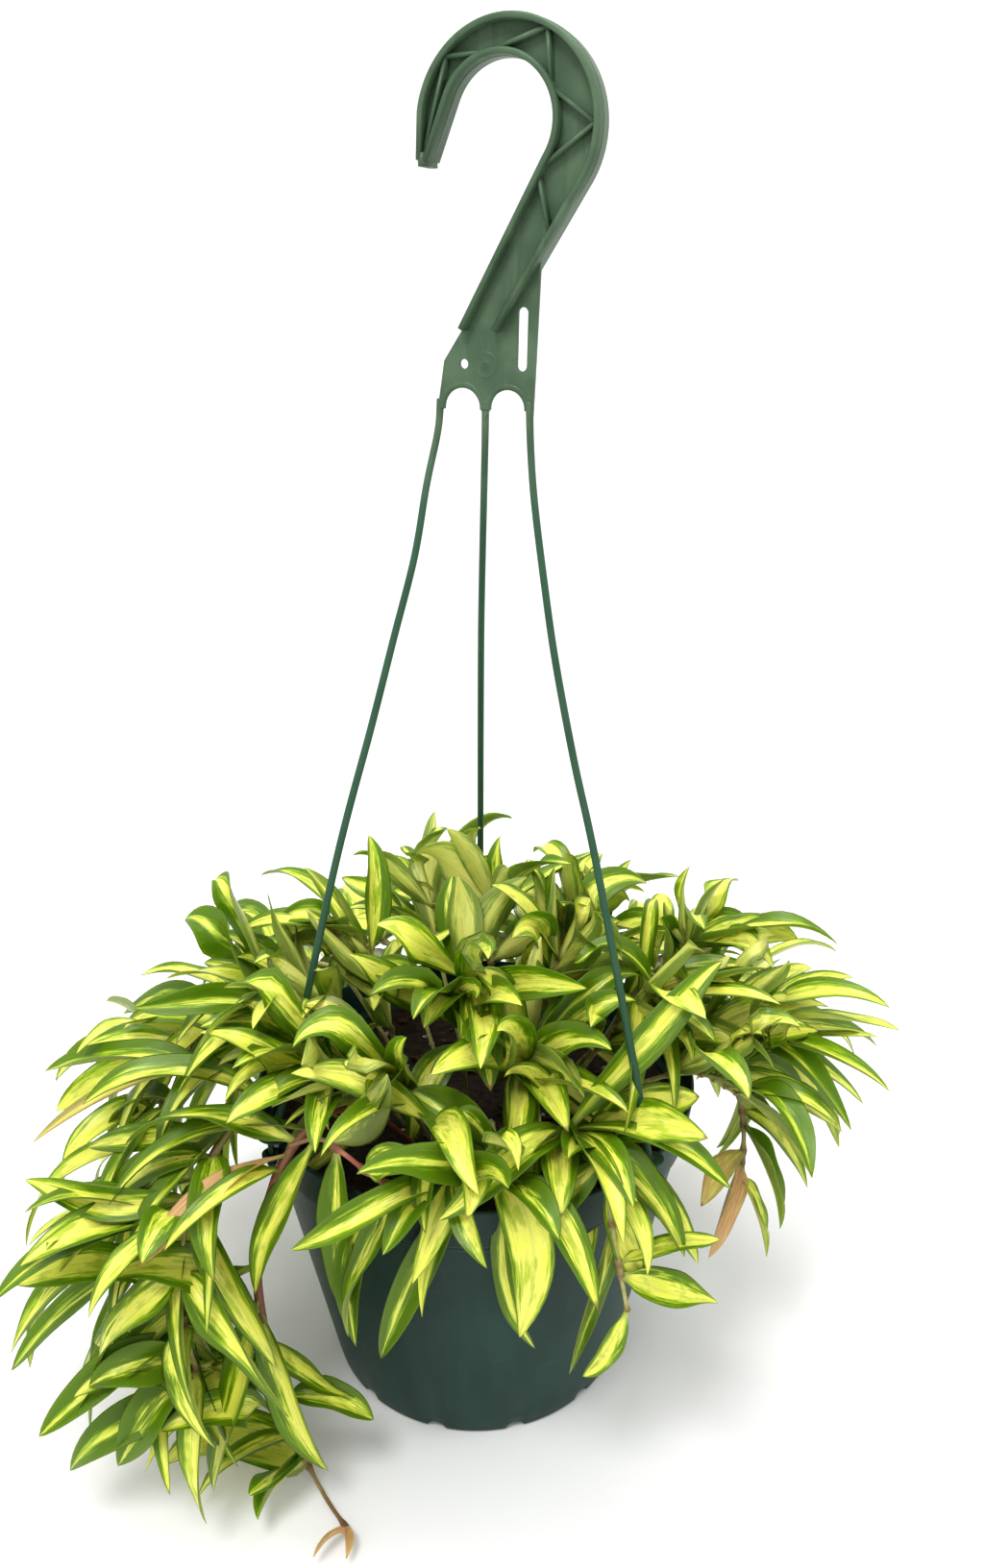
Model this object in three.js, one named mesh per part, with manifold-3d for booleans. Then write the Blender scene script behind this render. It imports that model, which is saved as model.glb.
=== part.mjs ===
// A potted hoya in its hanging basket, standing on its foot, in millimetres with +Z up.
// The origin is the middle of the pot's foot, and -Y is the side the plant is seen from.
import * as THREE from "three";
import { mergeVertices } from "three/addons/utils/BufferGeometryUtils.js";
import Module from "manifold-3d";

const wasm = await Module();
wasm.setup();

// ---- Driving dimensions ----
const GAP = 0.3; // clear space kept between neighbouring pieces
const WELD = 0.02; // slivers finer than this, left where pieces were joined, are closed up

const POT = {
  height: 152,
  footRadius: 70.5,
  wallTopRadius: 97,
  bandBottom: 131, // where the rolled band of the rim starts
  bandBottomRadius: 99.4,
  rimRadius: 101.6, // an 8 inch pot
  wall: 2,
  notches: 12, // drainage notches round the foot
  sides: 56,
};
const MIX = { top: 131.5, crown: 134.5, edgeGap: 0.5 };
const CLIP = {
  bearings: [-46, -146, 90], // degrees round the rim, one clip for each strand
  radius: 104,
  height: 156.4,
  discRadius: 6.8,
  discThickness: 1.4,
  pinRadius: 1.3,
  pinLength: 17,
  barbRadius: 2.1,
};
const LUG = { reach: 6.5, width: 8, thickness: 2.2, top: 148, holeRadius: 1.9 };
const HOOK = {
  yaw: -22, // degrees that the flat hook is turned round the vertical
  outer: { x: 15.5, z: 546, r: 34.5 },
  inner: { x: 12.5, z: 547.5, r: 20.5 },
  shankAngle: -35, // bearing on both circles where the hook runs on into its shank
  shoulderAngle: 170.4,
  beakAngle: 157,
  tip: { x: -17, z: 534 },
  webThickness: 2,
  flangeWidth: 2.2,
  flangeDepth: 12,
  ribWidth: 1.6,
  ribDepth: 8,
  plateBottom: 447,
};
const STRAND = { radius: 1.25, sides: 8, steps: 15 };
const STEM = { radius: 1.5, sides: 5, step: 24 };
const LEAF = { thickness: 1.2, petiole: 1.1, fold: 0.16 };

const COLOURS = {
  pot: 0x2c473e,
  hanger: 0x2f5240,
  mix: 0x2a211b,
  vine: 0x9ab83a,
};

const rad = THREE.MathUtils.degToRad;
const at = (x, y, z) => new THREE.Vector3(x, y, z);
const UP = at(0, 0, 1);

// ---- Joining and cutting ----
function solid(geometry) {
  const g = geometry.index ? geometry.toNonIndexed() : geometry.clone();
  g.deleteAttribute("normal");
  g.deleteAttribute("uv");
  const merged = mergeVertices(g, 1e-4);
  return new wasm.Manifold(
    new wasm.Mesh({
      numProp: 3,
      vertProperties: new Float32Array(merged.attributes.position.array),
      triVerts: new Uint32Array(merged.index.array),
    }),
  );
}

function geometryOf(body) {
  const mesh = largest(body.simplify(WELD)).getMesh();
  const g = new THREE.BufferGeometry();
  g.setAttribute("position", new THREE.BufferAttribute(mesh.vertProperties, 3));
  g.setIndex(new THREE.BufferAttribute(mesh.triVerts, 1));
  const flat = g.toNonIndexed();
  flat.computeVertexNormals();
  return flat;
}

const join = (bodies) => bodies.reduce((all, next) => all.add(next));

const largest = (body) =>
  body.decompose().reduce((a, b) => (b.volume() > a.volume() ? b : a));

const group = new THREE.Group();
group.name = "potted_hoya";

function addPiece(name, body, color, roughness) {
  const material = new THREE.MeshStandardMaterial({ color, roughness, metalness: 0 });
  const mesh = new THREE.Mesh(geometryOf(body), material);
  mesh.name = name;
  group.add(mesh);
}

function lathe(profile, sides) {
  const points = profile.map(([r, z]) => new THREE.Vector2(r, z));
  const g = new THREE.LatheGeometry(points, sides);
  g.rotateX(Math.PI / 2);
  return solid(g);
}

function tube(points, radius, sides, steps) {
  const section = new THREE.Shape();
  for (let i = 0; i < sides; i++) {
    const a = (i / sides) * 2 * Math.PI;
    section[i ? "lineTo" : "moveTo"](radius * Math.cos(a), radius * Math.sin(a));
  }
  section.closePath();
  const extrudePath = new THREE.CatmullRomCurve3(points, false, "catmullrom", 0.5);
  return solid(new THREE.ExtrudeGeometry(section, { steps, extrudePath }));
}

// ---- Pot: a tapered tub with a rolled rim band, notches round its foot and three lugs ----
function potBody() {
  const { height, footRadius, wallTopRadius, bandBottom, bandBottomRadius } = POT;
  const w = POT.wall;
  const tub = lathe(
    [
      [0, 0],
      [footRadius, 0],
      [wallTopRadius, bandBottom],
      [bandBottomRadius, bandBottom + 1.5],
      [POT.rimRadius, height - 1],
      [POT.rimRadius - 0.6, height],
      [POT.rimRadius - w + 0.3, height],
      [bandBottomRadius - w, bandBottom + 3],
      [wallTopRadius - w, bandBottom],
      [footRadius - w, w],
      [0, w],
    ],
    POT.sides,
  );
  const lugs = CLIP.bearings.map((bearing) => {
    const block = new THREE.BoxGeometry(LUG.reach + 1, LUG.width, LUG.thickness);
    const hole = new THREE.CylinderGeometry(LUG.holeRadius, LUG.holeRadius, 9, 12);
    const z = LUG.top - LUG.thickness / 2;
    block.translate(POT.rimRadius - 1 + (LUG.reach + 1) / 2, 0, z);
    hole.rotateX(Math.PI / 2).translate(CLIP.radius + 0.9, 0, z);
    return solid(block.rotateZ(rad(bearing))).subtract(
      solid(hole.rotateZ(rad(bearing))),
    );
  });
  const notches = [];
  for (let i = 0; i < POT.notches; i++) {
    const notch = new THREE.BoxGeometry(9, 7, 8);
    notch.translate(footRadius - 1, 0, 0).rotateZ(((i + 0.5) / POT.notches) * 2 * Math.PI);
    notches.push(solid(notch));
  }
  return join([tub, ...lugs]).subtract(join(notches));
}

// ---- Potting mix: the filling, a little lower than the rim and slightly domed ----
function mixBody() {
  const { footRadius, wallTopRadius, bandBottom, wall } = POT;
  const g = MIX.edgeGap;
  return lathe(
    [
      [0, wall + g],
      [footRadius - 6, wall + g],
      [footRadius - 6, wall + 7],
      [footRadius - wall - g + 0.9, wall + 7.5],
      [wallTopRadius - wall - g - 0.3, bandBottom - 2],
      [wallTopRadius - wall - g - 0.3, MIX.top],
      [50, MIX.crown - 0.6],
      [0, MIX.crown],
    ],
    40,
  );
}

// ---- Hanger: one moulding, a flat ribbed hook, its plate, three strands and their clips ----
const onCircle = ({ x, z, r }, degrees, inset = 0) => [
  x + (r + inset) * Math.cos(rad(degrees)),
  z + (r + inset) * Math.sin(rad(degrees)),
];

function arc(circle, from, to, steps, inset) {
  return Array.from({ length: steps + 1 }, (_, i) =>
    onCircle(circle, from + ((to - from) * i) / steps, inset),
  );
}

function standingPlate(outline, depth, holes = []) {
  const shape = new THREE.Shape(outline.map(([x, z]) => new THREE.Vector2(x, z)));
  for (const hole of holes)
    shape.holes.push(new THREE.Path(hole.map(([x, z]) => new THREE.Vector2(x, z))));
  const g = new THREE.ExtrudeGeometry(shape, { depth, bevelEnabled: false });
  return solid(g.rotateX(Math.PI / 2).translate(0, depth / 2, 0));
}

// A strip of constant width along a flat line, standing across the plate.
function ribbon(line, width, depth) {
  const side = (sign) =>
    line.map(([x, z], i) => {
      const [ax, az] = line[Math.max(i - 1, 0)];
      const [bx, bz] = line[Math.min(i + 1, line.length - 1)];
      const length = Math.hypot(bx - ax, bz - az);
      const reach = (sign * width) / 2 / length;
      return [x - (bz - az) * reach, z + (bx - ax) * reach];
    });
  return standingPlate([...side(1), ...side(-1).reverse()].reverse(), depth);
}

function hookBody() {
  const { outer, inner, shankAngle, shoulderAngle, beakAngle, tip, plateBottom } = HOOK;
  const bottom = plateBottom;
  const archLeft = arc({ x: -3.9, z: bottom + 3, r: 7.8 }, 180, 0, 10, 0);
  const archRight = arc({ x: 14.7, z: bottom + 3, r: 7.4 }, 180, 0, 10, 0);
  const outline = [
    [tip.x - 2.4, tip.z + 3],
    ...arc(outer, shoulderAngle, shankAngle, 22, 0),
    [27.5, 503],
    [25.5, 460],
    [24.8, bottom],
    ...archRight.reverse(),
    [5.6, bottom - 1],
    ...archLeft.reverse(),
    [-14.4, bottom],
    [-12.5, 458],
    [-11, 467],
    [-3.5, 478],
    ...arc(inner, shankAngle, beakAngle, 18, 0),
    [tip.x + 2.6, tip.z + 3],
    [tip.x, tip.z],
  ];
  const slot = [
    ...arc({ x: 21, z: 484.3, r: 2.2 }, 0, 180, 6, 0),
    ...arc({ x: 20.6, z: 465.7, r: 2.2 }, 180, 360, 6, 0),
  ];
  const eye = arc({ x: -3, z: 466, r: 2 }, 0, 324, 9, 0);
  const w = HOOK.flangeWidth;
  const outerFlange = [
    [tip.x - 1.2, tip.z + 2],
    ...arc(outer, shoulderAngle, shankAngle, 22, -w / 2),
    [10.8, 478],
  ];
  const innerFlange = [
    [-2.4, 478.5],
    ...arc(inner, shankAngle, beakAngle, 18, w / 2),
    [tip.x + 1.2, tip.z + 2],
  ];
  const zigzag = [
    [-17, 537],
    [-7.6, 568.5],
    [8, 568.8],
    [30.2, 575.4],
    [31.5, 557],
    [48, 545.5],
    [27, 531.5],
    [32, 510],
  ];
  const ribs = zigzag
    .slice(1)
    .map((end, i) => ribbon([zigzag[i], end], HOOK.ribWidth, HOOK.ribDepth));
  return join([
    standingPlate(outline, HOOK.webThickness, [slot, eye]),
    ribbon(outerFlange, w, HOOK.flangeDepth),
    ribbon(innerFlange, w, HOOK.flangeDepth),
    ...ribs,
  ]).rotate([0, 0, HOOK.yaw]);
}

// Each strand leaves the foot of the plate and flares out to its clip on the rim.
const STRANDS = [
  [[21.8, -9, 453], [22.4, -10, 436], [24, -13, 416], [27.8, -20, 387], [32.4, -28, 357],
    [40, -38, 319], [49, -50, 280], [65.5, -68, 197]],
  [[-12.3, 5, 453], [-13.5, 4, 441], [-18, -2, 421], [-23, -9, 394], [-31.5, -18, 363],
    [-40.5, -27, 330], [-56, -40, 275], [-78, -52, 182]],
  [[5.2, -2, 453], [4.9, 0, 436], [4.2, 8, 410], [3.4, 19, 380], [2.8, 30, 352],
    [2.2, 48, 300], [1.5, 72, 223], [0.4, 98, 172]],
];

function strandBody(points, bearing, grow) {
  const radius = STRAND.radius + grow;
  const a = rad(bearing);
  const foot = at(CLIP.radius * Math.cos(a), CLIP.radius * Math.sin(a), CLIP.height);
  const route = [...points.map((p) => at(...p)), foot];
  const strand = tube(route, radius, STRAND.sides, STRAND.steps);
  const lean = at(Math.sin(a), -Math.cos(a), 0); // tilts the disc square to its strand
  const discRadius = CLIP.discRadius + grow;
  const disc = new THREE.CylinderGeometry(
    discRadius,
    discRadius,
    CLIP.discThickness + 2 * grow,
    16,
  );
  disc.rotateX(Math.PI / 2);
  disc.applyQuaternion(new THREE.Quaternion().setFromAxisAngle(lean, rad(11)));
  disc.translate(foot.x, foot.y, foot.z);
  const pinAt = CLIP.radius + 0.9;
  const pinRadius = CLIP.pinRadius + grow;
  const pin = new THREE.CylinderGeometry(pinRadius, pinRadius, CLIP.pinLength, 8);
  pin.rotateX(Math.PI / 2);
  pin.translate(pinAt * Math.cos(a), pinAt * Math.sin(a), foot.z - CLIP.pinLength / 2);
  const barb = new THREE.CylinderGeometry(CLIP.barbRadius + grow, 0.8, 4, 8);
  barb.rotateX(Math.PI / 2);
  barb.translate(pinAt * Math.cos(a), pinAt * Math.sin(a), foot.z - CLIP.pinLength + 1.5);
  return join([strand, solid(disc), solid(pin), solid(barb)]);
}

const strandBodies = (grow) =>
  join(STRANDS.map((points, i) => strandBody(points, CLIP.bearings[i], grow)));

// ---- Vines ----
// Each vine is one rooted stem with the leaves that grow on it. route is its way from the mix.
// leaves are [place along the route, tip x, y, z, bow, width, roll]; bow lifts the middle of a
// leaf and roll turns it about its midrib, in degrees. pairs are the opposite leaves that follow
// the stem by rule: [first place, last place, number of pairs, leaf length].
const VINES = [
  // Over the front of the rim
  { name: "vine_front_1", route: [[-15, -45, 132], [-18, -62, 166], [-13, -84, 176], [-5, -99, 162]],
    leaves: [[1, -40, -108, 78, 3, 13, -10], [0.7, -20, -122, 160, 6, 11, 20]] },
  { name: "vine_front_2", route: [[10, -40, 132], [8, -60, 164], [9, -84, 170], [12, -102, 158]],
    leaves: [[1, 24, -107, 80, 3, 9, 50], [0.75, -8, -88, 190, 5, 12, -30]] },
  { name: "vine_front_3", route: [[-20, -30, 132], [-29, -45, 164], [-30, -63, 184]],
    leaves: [[1, 28, -104, 153, 2, 20, 10], [0.95, -40, -90, 190, 9, 15, 30],
      [0.8, -70, -56, 224, 8, 14, 0]] },
  { name: "vine_front_4", route: [[30, -35, 132], [38, -55, 156], [38, -77, 173]],
    leaves: [[1, 0, -105, 158, 4, 17, 20], [0.97, 103, -45, 236, 7, 15, -20],
      [0.6, 14, -70, 198, 6, 10, 20]] },
  { name: "vine_front_5", route: [[45, -35, 132], [54, -60, 160], [53, -88, 164], [55, -103, 148],
      [59, -107, 126], [62, -109, 110]],
    leaves: [[0.35, 14, -112, 147, -5, 14, 0], [0.6, 38, -112, 80, 4, 15, -30],
      [0.45, 70, -106, 116, 3, 15, 0], [0.8, 99, -106, 112, -3, 15, 0],
      [1, 45, -110, 76, -4, 10, 20], [0.75, 102, -92, 131, 4, 8, 0]] },
  { name: "vine_front_6", route: [[-5, -62, 132], [-11, -88, 156], [-22, -102, 160], [-38, -98, 166],
      [-52, -89, 171], [-62, -84, 174], [-74, -86, 172]],
    leaves: [[0.42, -56, -115, 105, 3, 12, 20], [0.46, -48, -112, 93, 3, 13, -20],
      [0.55, -18, -108, 176, 4, 14, 10], [0.85, -90, -112, 122, -4, 14, 10],
      [0.7, -52, -110, 104, 3, 14, 0], [0.74, -33, -86, 206, 0, 19, 160]] },
  // The long trailer that reaches the surface at the front left
  { name: "vine_trailing", route: [[-25, -35, 132], [-48, -55, 168], [-68, -76, 172], [-84, -90, 148],
      [-88, -99, 115], [-85, -101, 80], [-80, -97, 45], [-76, -94, 16], [-74, -93, 6],
      [-64, -108, 3.5], [-53, -123, 3.5]],
    leaves: [[0.2, -150, -96, 152, 10, 13, 10], [0.22, -146, -72, 166, 12, 14, 0],
      [0.24, -132, -116, 138, 9, 13, 20], [0.26, -118, -122, 152, 9, 12, 0],
      [0.38, -158, -112, 66, 8, 14, 10], [0.42, -112, -122, 24, 5, 16, 10],
      [0.44, -64, -120, 28, 3, 16, -10], [0.48, -52, -98, 46, 3, 14, 0],
      [0.52, -140, -118, 34, 6, 14, -10], [0.58, -42, -100, 42, 3, 13, 0],
      [0.8, -142, -90, 7, 5, 24, 0], [0.66, -120, -112, 12, 5, 13, 15]] },
  // Over the left of the rim
  { name: "vine_left_1", route: [[-40, -15, 132], [-72, -40, 172], [-104, -62, 160], [-124, -76, 128],
      [-130, -84, 92], [-128, -86, 60], [-122, -88, 35]],
    leaves: [[0.25, -165, -62, 176, 12, 15, 0], [0.3, -142, -106, 138, 5, 14, 20]],
    pairs: [0.35, 0.72, 6, 72] },
  { name: "vine_left_2", route: [[-45, 0, 132], [-80, -15, 178], [-118, -28, 168], [-146, -40, 136],
      [-156, -48, 100], [-156, -52, 72]],
    leaves: [[0.35, -188, -60, 154, 10, 13, 0], [0.7, -200, -58, 66, 6, 12, 10]],
    pairs: [0.3, 0.97, 8, 72] },
  { name: "vine_left_3", route: [[-45, 15, 132], [-82, 15, 180], [-118, 14, 172], [-145, 8, 145],
      [-155, 2, 115]],
    pairs: [0.3, 1, 7, 72] },
  { name: "vine_left_4", route: [[-35, -5, 132], [-60, -10, 180], [-86, -18, 194]],
    leaves: [[0.9, -138, -12, 206, 9, 14, 0], [0.7, -122, 6, 222, 6, 13, 0]],
    pairs: [0.5, 1, 4, 66] },
  { name: "vine_left_5", route: [[-32, -20, 132], [-50, -35, 172], [-62, -56, 186]],
    leaves: [[1, -110, -68, 214, 6, 15, 10], [0.95, -58, -86, 180, 8, 13, 0],
      [0.9, -100, -82, 192, 9, 13, 0]],
    pairs: [0.6, 0.9, 2, 62] },
  { name: "vine_left_6", route: [[-55, -20, 132], [-88, -52, 172], [-112, -84, 152], [-118, -104, 118],
      [-114, -110, 80], [-106, -108, 52]],
    pairs: [0.35, 0.8, 5, 62] },
  // The crown
  { name: "vine_crown_1", route: [[-30, 0, 132], [-42, 5, 178], [-50, 10, 212]],
    leaves: [[0.92, -48, 34, 256, 2, 17, 165], [0.8, -76, 18, 248, 3, 12, 150],
      [0.98, -108, 2, 226, 8, 13, 0], [0.7, -98, 18, 206, 8, 13, 0]],
    pairs: [0.4, 0.55, 2, 56] },
  { name: "vine_crown_2", route: [[-5, -5, 132], [-5, -10, 178], [-3, -18, 210]],
    leaves: [[1, -6, -4, 254, 0, 18, 175], [0.95, 22, 6, 248, 2, 16, 160],
      [0.985, -42, -24, 240, 6, 14, 0], [0.97, 7, -74, 190, 9, 18, 0]],
    pairs: [0.5, 0.85, 2, 60] },
  { name: "vine_crown_3", route: [[5, 20, 132], [7, 30, 186], [8, 38, 216]],
    leaves: [[1, -14, 36, 258, 4, 10, 0], [0.97, 10, 46, 250, 0, 10, 170]],
    pairs: [0.55, 1, 3, 52] },
  { name: "vine_crown_4", route: [[20, 0, 132], [30, 6, 178], [38, 8, 204]],
    leaves: [[1, 36, 20, 246, 0, 13, 160]],
    pairs: [0.5, 1, 4, 58] },
  { name: "vine_crown_5", route: [[15, -15, 132], [18, -30, 168], [22, -46, 186]],
    leaves: [[0.9, 70, -30, 224, 7, 15, -10], [0.7, 30, -10, 226, 2, 13, 160]],
    pairs: [0.5, 1, 3, 56] },
  { name: "vine_crown_6", route: [[35, -10, 132], [58, -18, 178], [78, -22, 208]],
    leaves: [[1, 42, -34, 226, 12, 10, 0], [0.92, 62, -86, 178, 8, 15, -20],
      [0.85, 84, -70, 176, 9, 13, 10], [0.7, 112, -22, 222, 3, 17, 150]],
    pairs: [0.45, 0.84, 3, 58] },
  { name: "vine_crown_7", route: [[40, 15, 132], [75, 6, 182], [98, 2, 214]],
    leaves: [[1, 92, 6, 252, 0, 12, 170], [0.985, 110, 10, 246, 0, 15, 150], [0.97, 84, 0, 238, 2, 13, 190]],
    pairs: [0.5, 0.95, 3, 60] },
  // Over the right of the rim
  { name: "vine_right_1", route: [[40, -5, 132], [75, -8, 166], [104, -12, 180], [126, -16, 176]],
    leaves: [[0.8, 190, -2, 172, 5, 14, 0], [1, 176, -28, 152, 4, 18, 0], [0.7, 160, 18, 198, 6, 10, 0],
      [0.75, 182, -14, 176, 4, 12, 10]],
    pairs: [0.45, 0.95, 4, 66] },
  { name: "vine_right_2", route: [[42, -22, 132], [72, -38, 168], [96, -44, 178], [112, -50, 172]],
    leaves: [[0.8, 162, -48, 152, 6, 15, 0], [1, 150, -72, 172, 5, 13, 0], [0.7, 150, -30, 190, 6, 13, 0]],
    pairs: [0.5, 0.9, 3, 62] },
  { name: "vine_right_3", route: [[45, 5, 132], [82, -8, 164], [106, -16, 168], [119, -26, 152],
      [121, -34, 130], [117, -40, 108]],
    leaves: [[0.85, 104, -60, 92, 3, 16, 0], [0.7, 138, -54, 104, 5, 13, 0], [0.65, 150, -42, 116, 7, 10, 20],
      [0.9, 132, -54, 88, 3, 11, 0], [0.8, 98, -66, 126, 3, 10, 0]] },
  { name: "vine_right_4", route: [[38, -30, 132], [44, -52, 150], [48, -66, 160]],
    leaves: [[1, 95, -60, 178, 3, 17, 20], [0.9, 88, -72, 166, 4, 12, 0], [0.7, 60, -70, 182, 4, 10, 0]] },
  { name: "vine_right_5", route: [[45, 20, 132], [85, 28, 172], [120, 38, 170], [140, 44, 150],
      [146, 46, 120]],
    pairs: [0.4, 1, 6, 68] },
  // The back
  { name: "vine_back_1", route: [[20, 40, 132], [30, 75, 172], [40, 108, 168], [46, 128, 140],
      [48, 134, 105]],
    pairs: [0.35, 1, 6, 68] },
  { name: "vine_back_2", route: [[0, 40, 132], [-8, 78, 174], [-14, 112, 166], [-16, 130, 135],
      [-14, 134, 100], [-12, 130, 66]],
    pairs: [0.3, 1, 8, 66] },
  { name: "vine_back_3", route: [[-20, 35, 132], [-40, 70, 172], [-62, 100, 164], [-74, 118, 135],
      [-78, 122, 100]],
    pairs: [0.35, 1, 6, 68] },
  { name: "vine_back_4", route: [[-35, 25, 132], [-70, 48, 176], [-102, 66, 162], [-118, 78, 130],
      [-122, 82, 95]],
    pairs: [0.35, 1, 6, 68] },
  { name: "vine_back_5", route: [[35, 35, 132], [68, 62, 172], [96, 84, 162], [108, 96, 132],
      [110, 98, 100]],
    pairs: [0.36, 0.97, 6, 66] },
  { name: "vine_back_6", route: [[-5, 28, 132], [-18, 48, 180], [-22, 60, 204]],
    pairs: [0.5, 1, 3, 62] },
  { name: "vine_back_7", route: [[25, 25, 132], [40, 42, 176], [48, 52, 196]],
    pairs: [0.45, 1, 5, 56] },
];

// A small repeatable number maker, so that every build gives the same plant.
function randomFrom(seed) {
  let state = seed;
  return () => {
    state = (state + 0x6d2b79f5) | 0;
    let t = Math.imul(state ^ (state >>> 15), 1 | state);
    t = (t + Math.imul(t ^ (t >>> 7), 61 | t)) ^ t;
    return ((t ^ (t >>> 14)) >>> 0) / 4294967296;
  };
}

// Keeps a leaf tip above the surface and outside the pot.
function freeTip(tip) {
  tip.z = Math.max(tip.z, 7);
  const out = Math.hypot(tip.x, tip.y);
  if (tip.z < POT.height + 8 && out < 110) {
    tip.x *= 110 / out;
    tip.y *= 110 / out;
  }
  return tip;
}

// The opposite pairs: each pair stands crosswise to the last one, leans along the stem,
// lifts towards the light and sinks again under its own weight.
function pairedLeaves(curve, [first, last, count, length], random) {
  const leaves = [];
  for (let i = 0; i < count; i++) {
    const place = first + ((last - first) * i) / Math.max(count - 1, 1);
    const base = curve.getPoint(place);
    const along = curve.getTangent(place);
    const side = at(along.y, -along.x, 0.001).normalize();
    const over = side.clone().cross(along).normalize();
    const turn = (i % 2) * 1.2 + (random() - 0.5) * 0.9;
    for (const sign of [1, -1]) {
      const foot = base.clone().addScaledVector(along, 0.4 * sign);
      const reach = length * (0.8 + 0.35 * random());
      const way = side.clone().multiplyScalar(sign * Math.cos(turn));
      way.addScaledVector(over, sign * Math.sin(turn) * 0.8 + 0.25);
      way.addScaledVector(along, 0.75 + 0.5 * random());
      way.addScaledVector(UP, 0.15 - 0.35 * random());
      const tip = foot.clone().addScaledVector(way.normalize(), reach);
      tip.z -= 0.1 * reach;
      leaves.push({
        paired: true,
        base: foot,
        tip: freeTip(tip),
        bow: reach * (0.08 + 0.12 * random()),
        width: 11 + 6 * random(),
        roll: (random() - 0.5) * 70,
      });
    }
  }
  return leaves;
}

function leavesOf(vine, curve, random) {
  const placed = (vine.leaves ?? []).map(([place, x, y, z, bow, width, roll]) => ({
    base: curve.getPoint(place),
    tip: at(x, y, z),
    bow,
    width,
    roll,
  }));
  const paired = vine.pairs ? pairedLeaves(curve, vine.pairs, random) : [];
  return [...placed, ...paired];
}

// One blade: a bent, lance-shaped leaf folded along its midrib, three-cornered across.
const STATIONS = [
  [0, 0],
  [0.3, 0.86],
  [0.68, 0.84],
];

function bladeBody({ base, tip, bow, width, roll }, grow, swing) {
  const end = tip.clone().sub(base).applyAxisAngle(UP, swing).add(base);
  const middle = base.clone().lerp(end, 0.5).addScaledVector(UP, 2 * bow);
  const midrib = new THREE.QuadraticBezierCurve3(base, middle, end);
  const out = at(base.x + end.x, base.y + end.y, 0).normalize();
  const vertices = [];
  for (const [place, share] of STATIONS) {
    const along = midrib.getTangent(place);
    const p = midrib.getPoint(place).addScaledVector(along, place ? 0 : -grow);
    const steep = Math.abs(along.z);
    const face = UP.clone().multiplyScalar(1.05 - steep).addScaledVector(out, steep);
    face.addScaledVector(along, -face.dot(along)).normalize();
    face.applyAxisAngle(along, rad(roll));
    const across = along.clone().cross(face);
    const half = Math.max((share * width) / 2, LEAF.petiole) + 4 * grow;
    const thick = LEAF.thickness / 2 + 1.5 * grow;
    const lift = LEAF.fold * share * width;
    vertices.push(
      p.clone().addScaledVector(across, -half).addScaledVector(face, lift + grow),
      p.clone().addScaledVector(across, half).addScaledVector(face, lift + grow),
      p.clone().addScaledVector(face, -thick),
    );
  }
  vertices.push(end.clone().addScaledVector(midrib.getTangent(1), 5 * grow));
  const last = vertices.length - 1;
  const triangles = [0, 1, 2];
  for (let ring = 0; ring < last - 3; ring += 3)
    for (let k = 0; k < 3; k++) {
      const [a, b] = [ring + k, ring + ((k + 1) % 3)];
      triangles.push(a, a + 3, b + 3, a, b + 3, b);
    }
  for (let k = 0; k < 3; k++) triangles.push(last - 3 + k, last, last - 3 + ((k + 1) % 3));
  const g = new THREE.BufferGeometry().setFromPoints(vertices);
  g.setIndex(triangles);
  const body = solid(g);
  return body.volume() > 0 ? body : solid(g.setIndex(triangles.reverse()));
}

// How far a leaf may be turned about its foot to get clear of its neighbours.
const SWINGS = [0, 9, -9, 18, -18, 27, -27].map(rad);

function misses(blade, taken) {
  const shared = taken.intersect(blade);
  const clear = shared.isEmpty();
  shared.delete();
  blade.delete();
  return clear;
}

// The stem with its leaves, and the same grown by the gap that its neighbours keep to.
function vineBodies(vine, curve, leaves, taken) {
  const steps = Math.max(4, Math.round(curve.getLength() / STEM.step));
  const stem = (grow) => tube(curve.points, STEM.radius + grow, STEM.sides, steps);
  const placed = leaves
    .map((leaf) => ({
      leaf,
      swing: SWINGS.find((swing) => misses(bladeBody(leaf, GAP, swing), taken)),
    }))
    .map(({ leaf, swing }) => ({ leaf, swing: leaf.paired ? swing : (swing ?? 0) }))
    .filter(({ swing }) => swing !== undefined);
  const grown = (grow) =>
    join([stem(grow), ...placed.map(({ leaf, swing }) => bladeBody(leaf, grow, swing))]);
  const body = largest(grown(0).subtract(taken));
  return { body, room: grown(2 * GAP) };
}

// ---- The assembly ----
// What the vines keep clear of: the pot and its filling as one mass, the hanger, and the surface.
function keepOut() {
  const { height, footRadius, wallTopRadius, bandBottom, rimRadius, wall } = POT;
  const mass = lathe(
    [
      [0, -20],
      [footRadius + GAP, -20],
      [footRadius + GAP, 0],
      [wallTopRadius + GAP + 0.1, bandBottom - 1],
      [rimRadius + GAP, bandBottom],
      [rimRadius + GAP, height + GAP],
      [rimRadius - wall - GAP, height + GAP],
      [wallTopRadius - wall - GAP, bandBottom + 1],
      [wallTopRadius - wall - GAP, MIX.top + GAP],
      [50, MIX.crown - 0.6 + GAP],
      [0, MIX.crown + GAP],
    ],
    POT.sides,
  );
  const surface = new THREE.BoxGeometry(900, 900, 20).translate(0, 0, -9.5);
  return join([mass, strandBodies(GAP + 0.1), solid(surface)]);
}

addPiece("pot", potBody(), COLOURS.pot, 0.45);
addPiece("potting_mix", mixBody(), COLOURS.mix, 0.95);
addPiece("hanger", join([hookBody(), strandBodies(0)]), COLOURS.hanger, 0.4);

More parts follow.
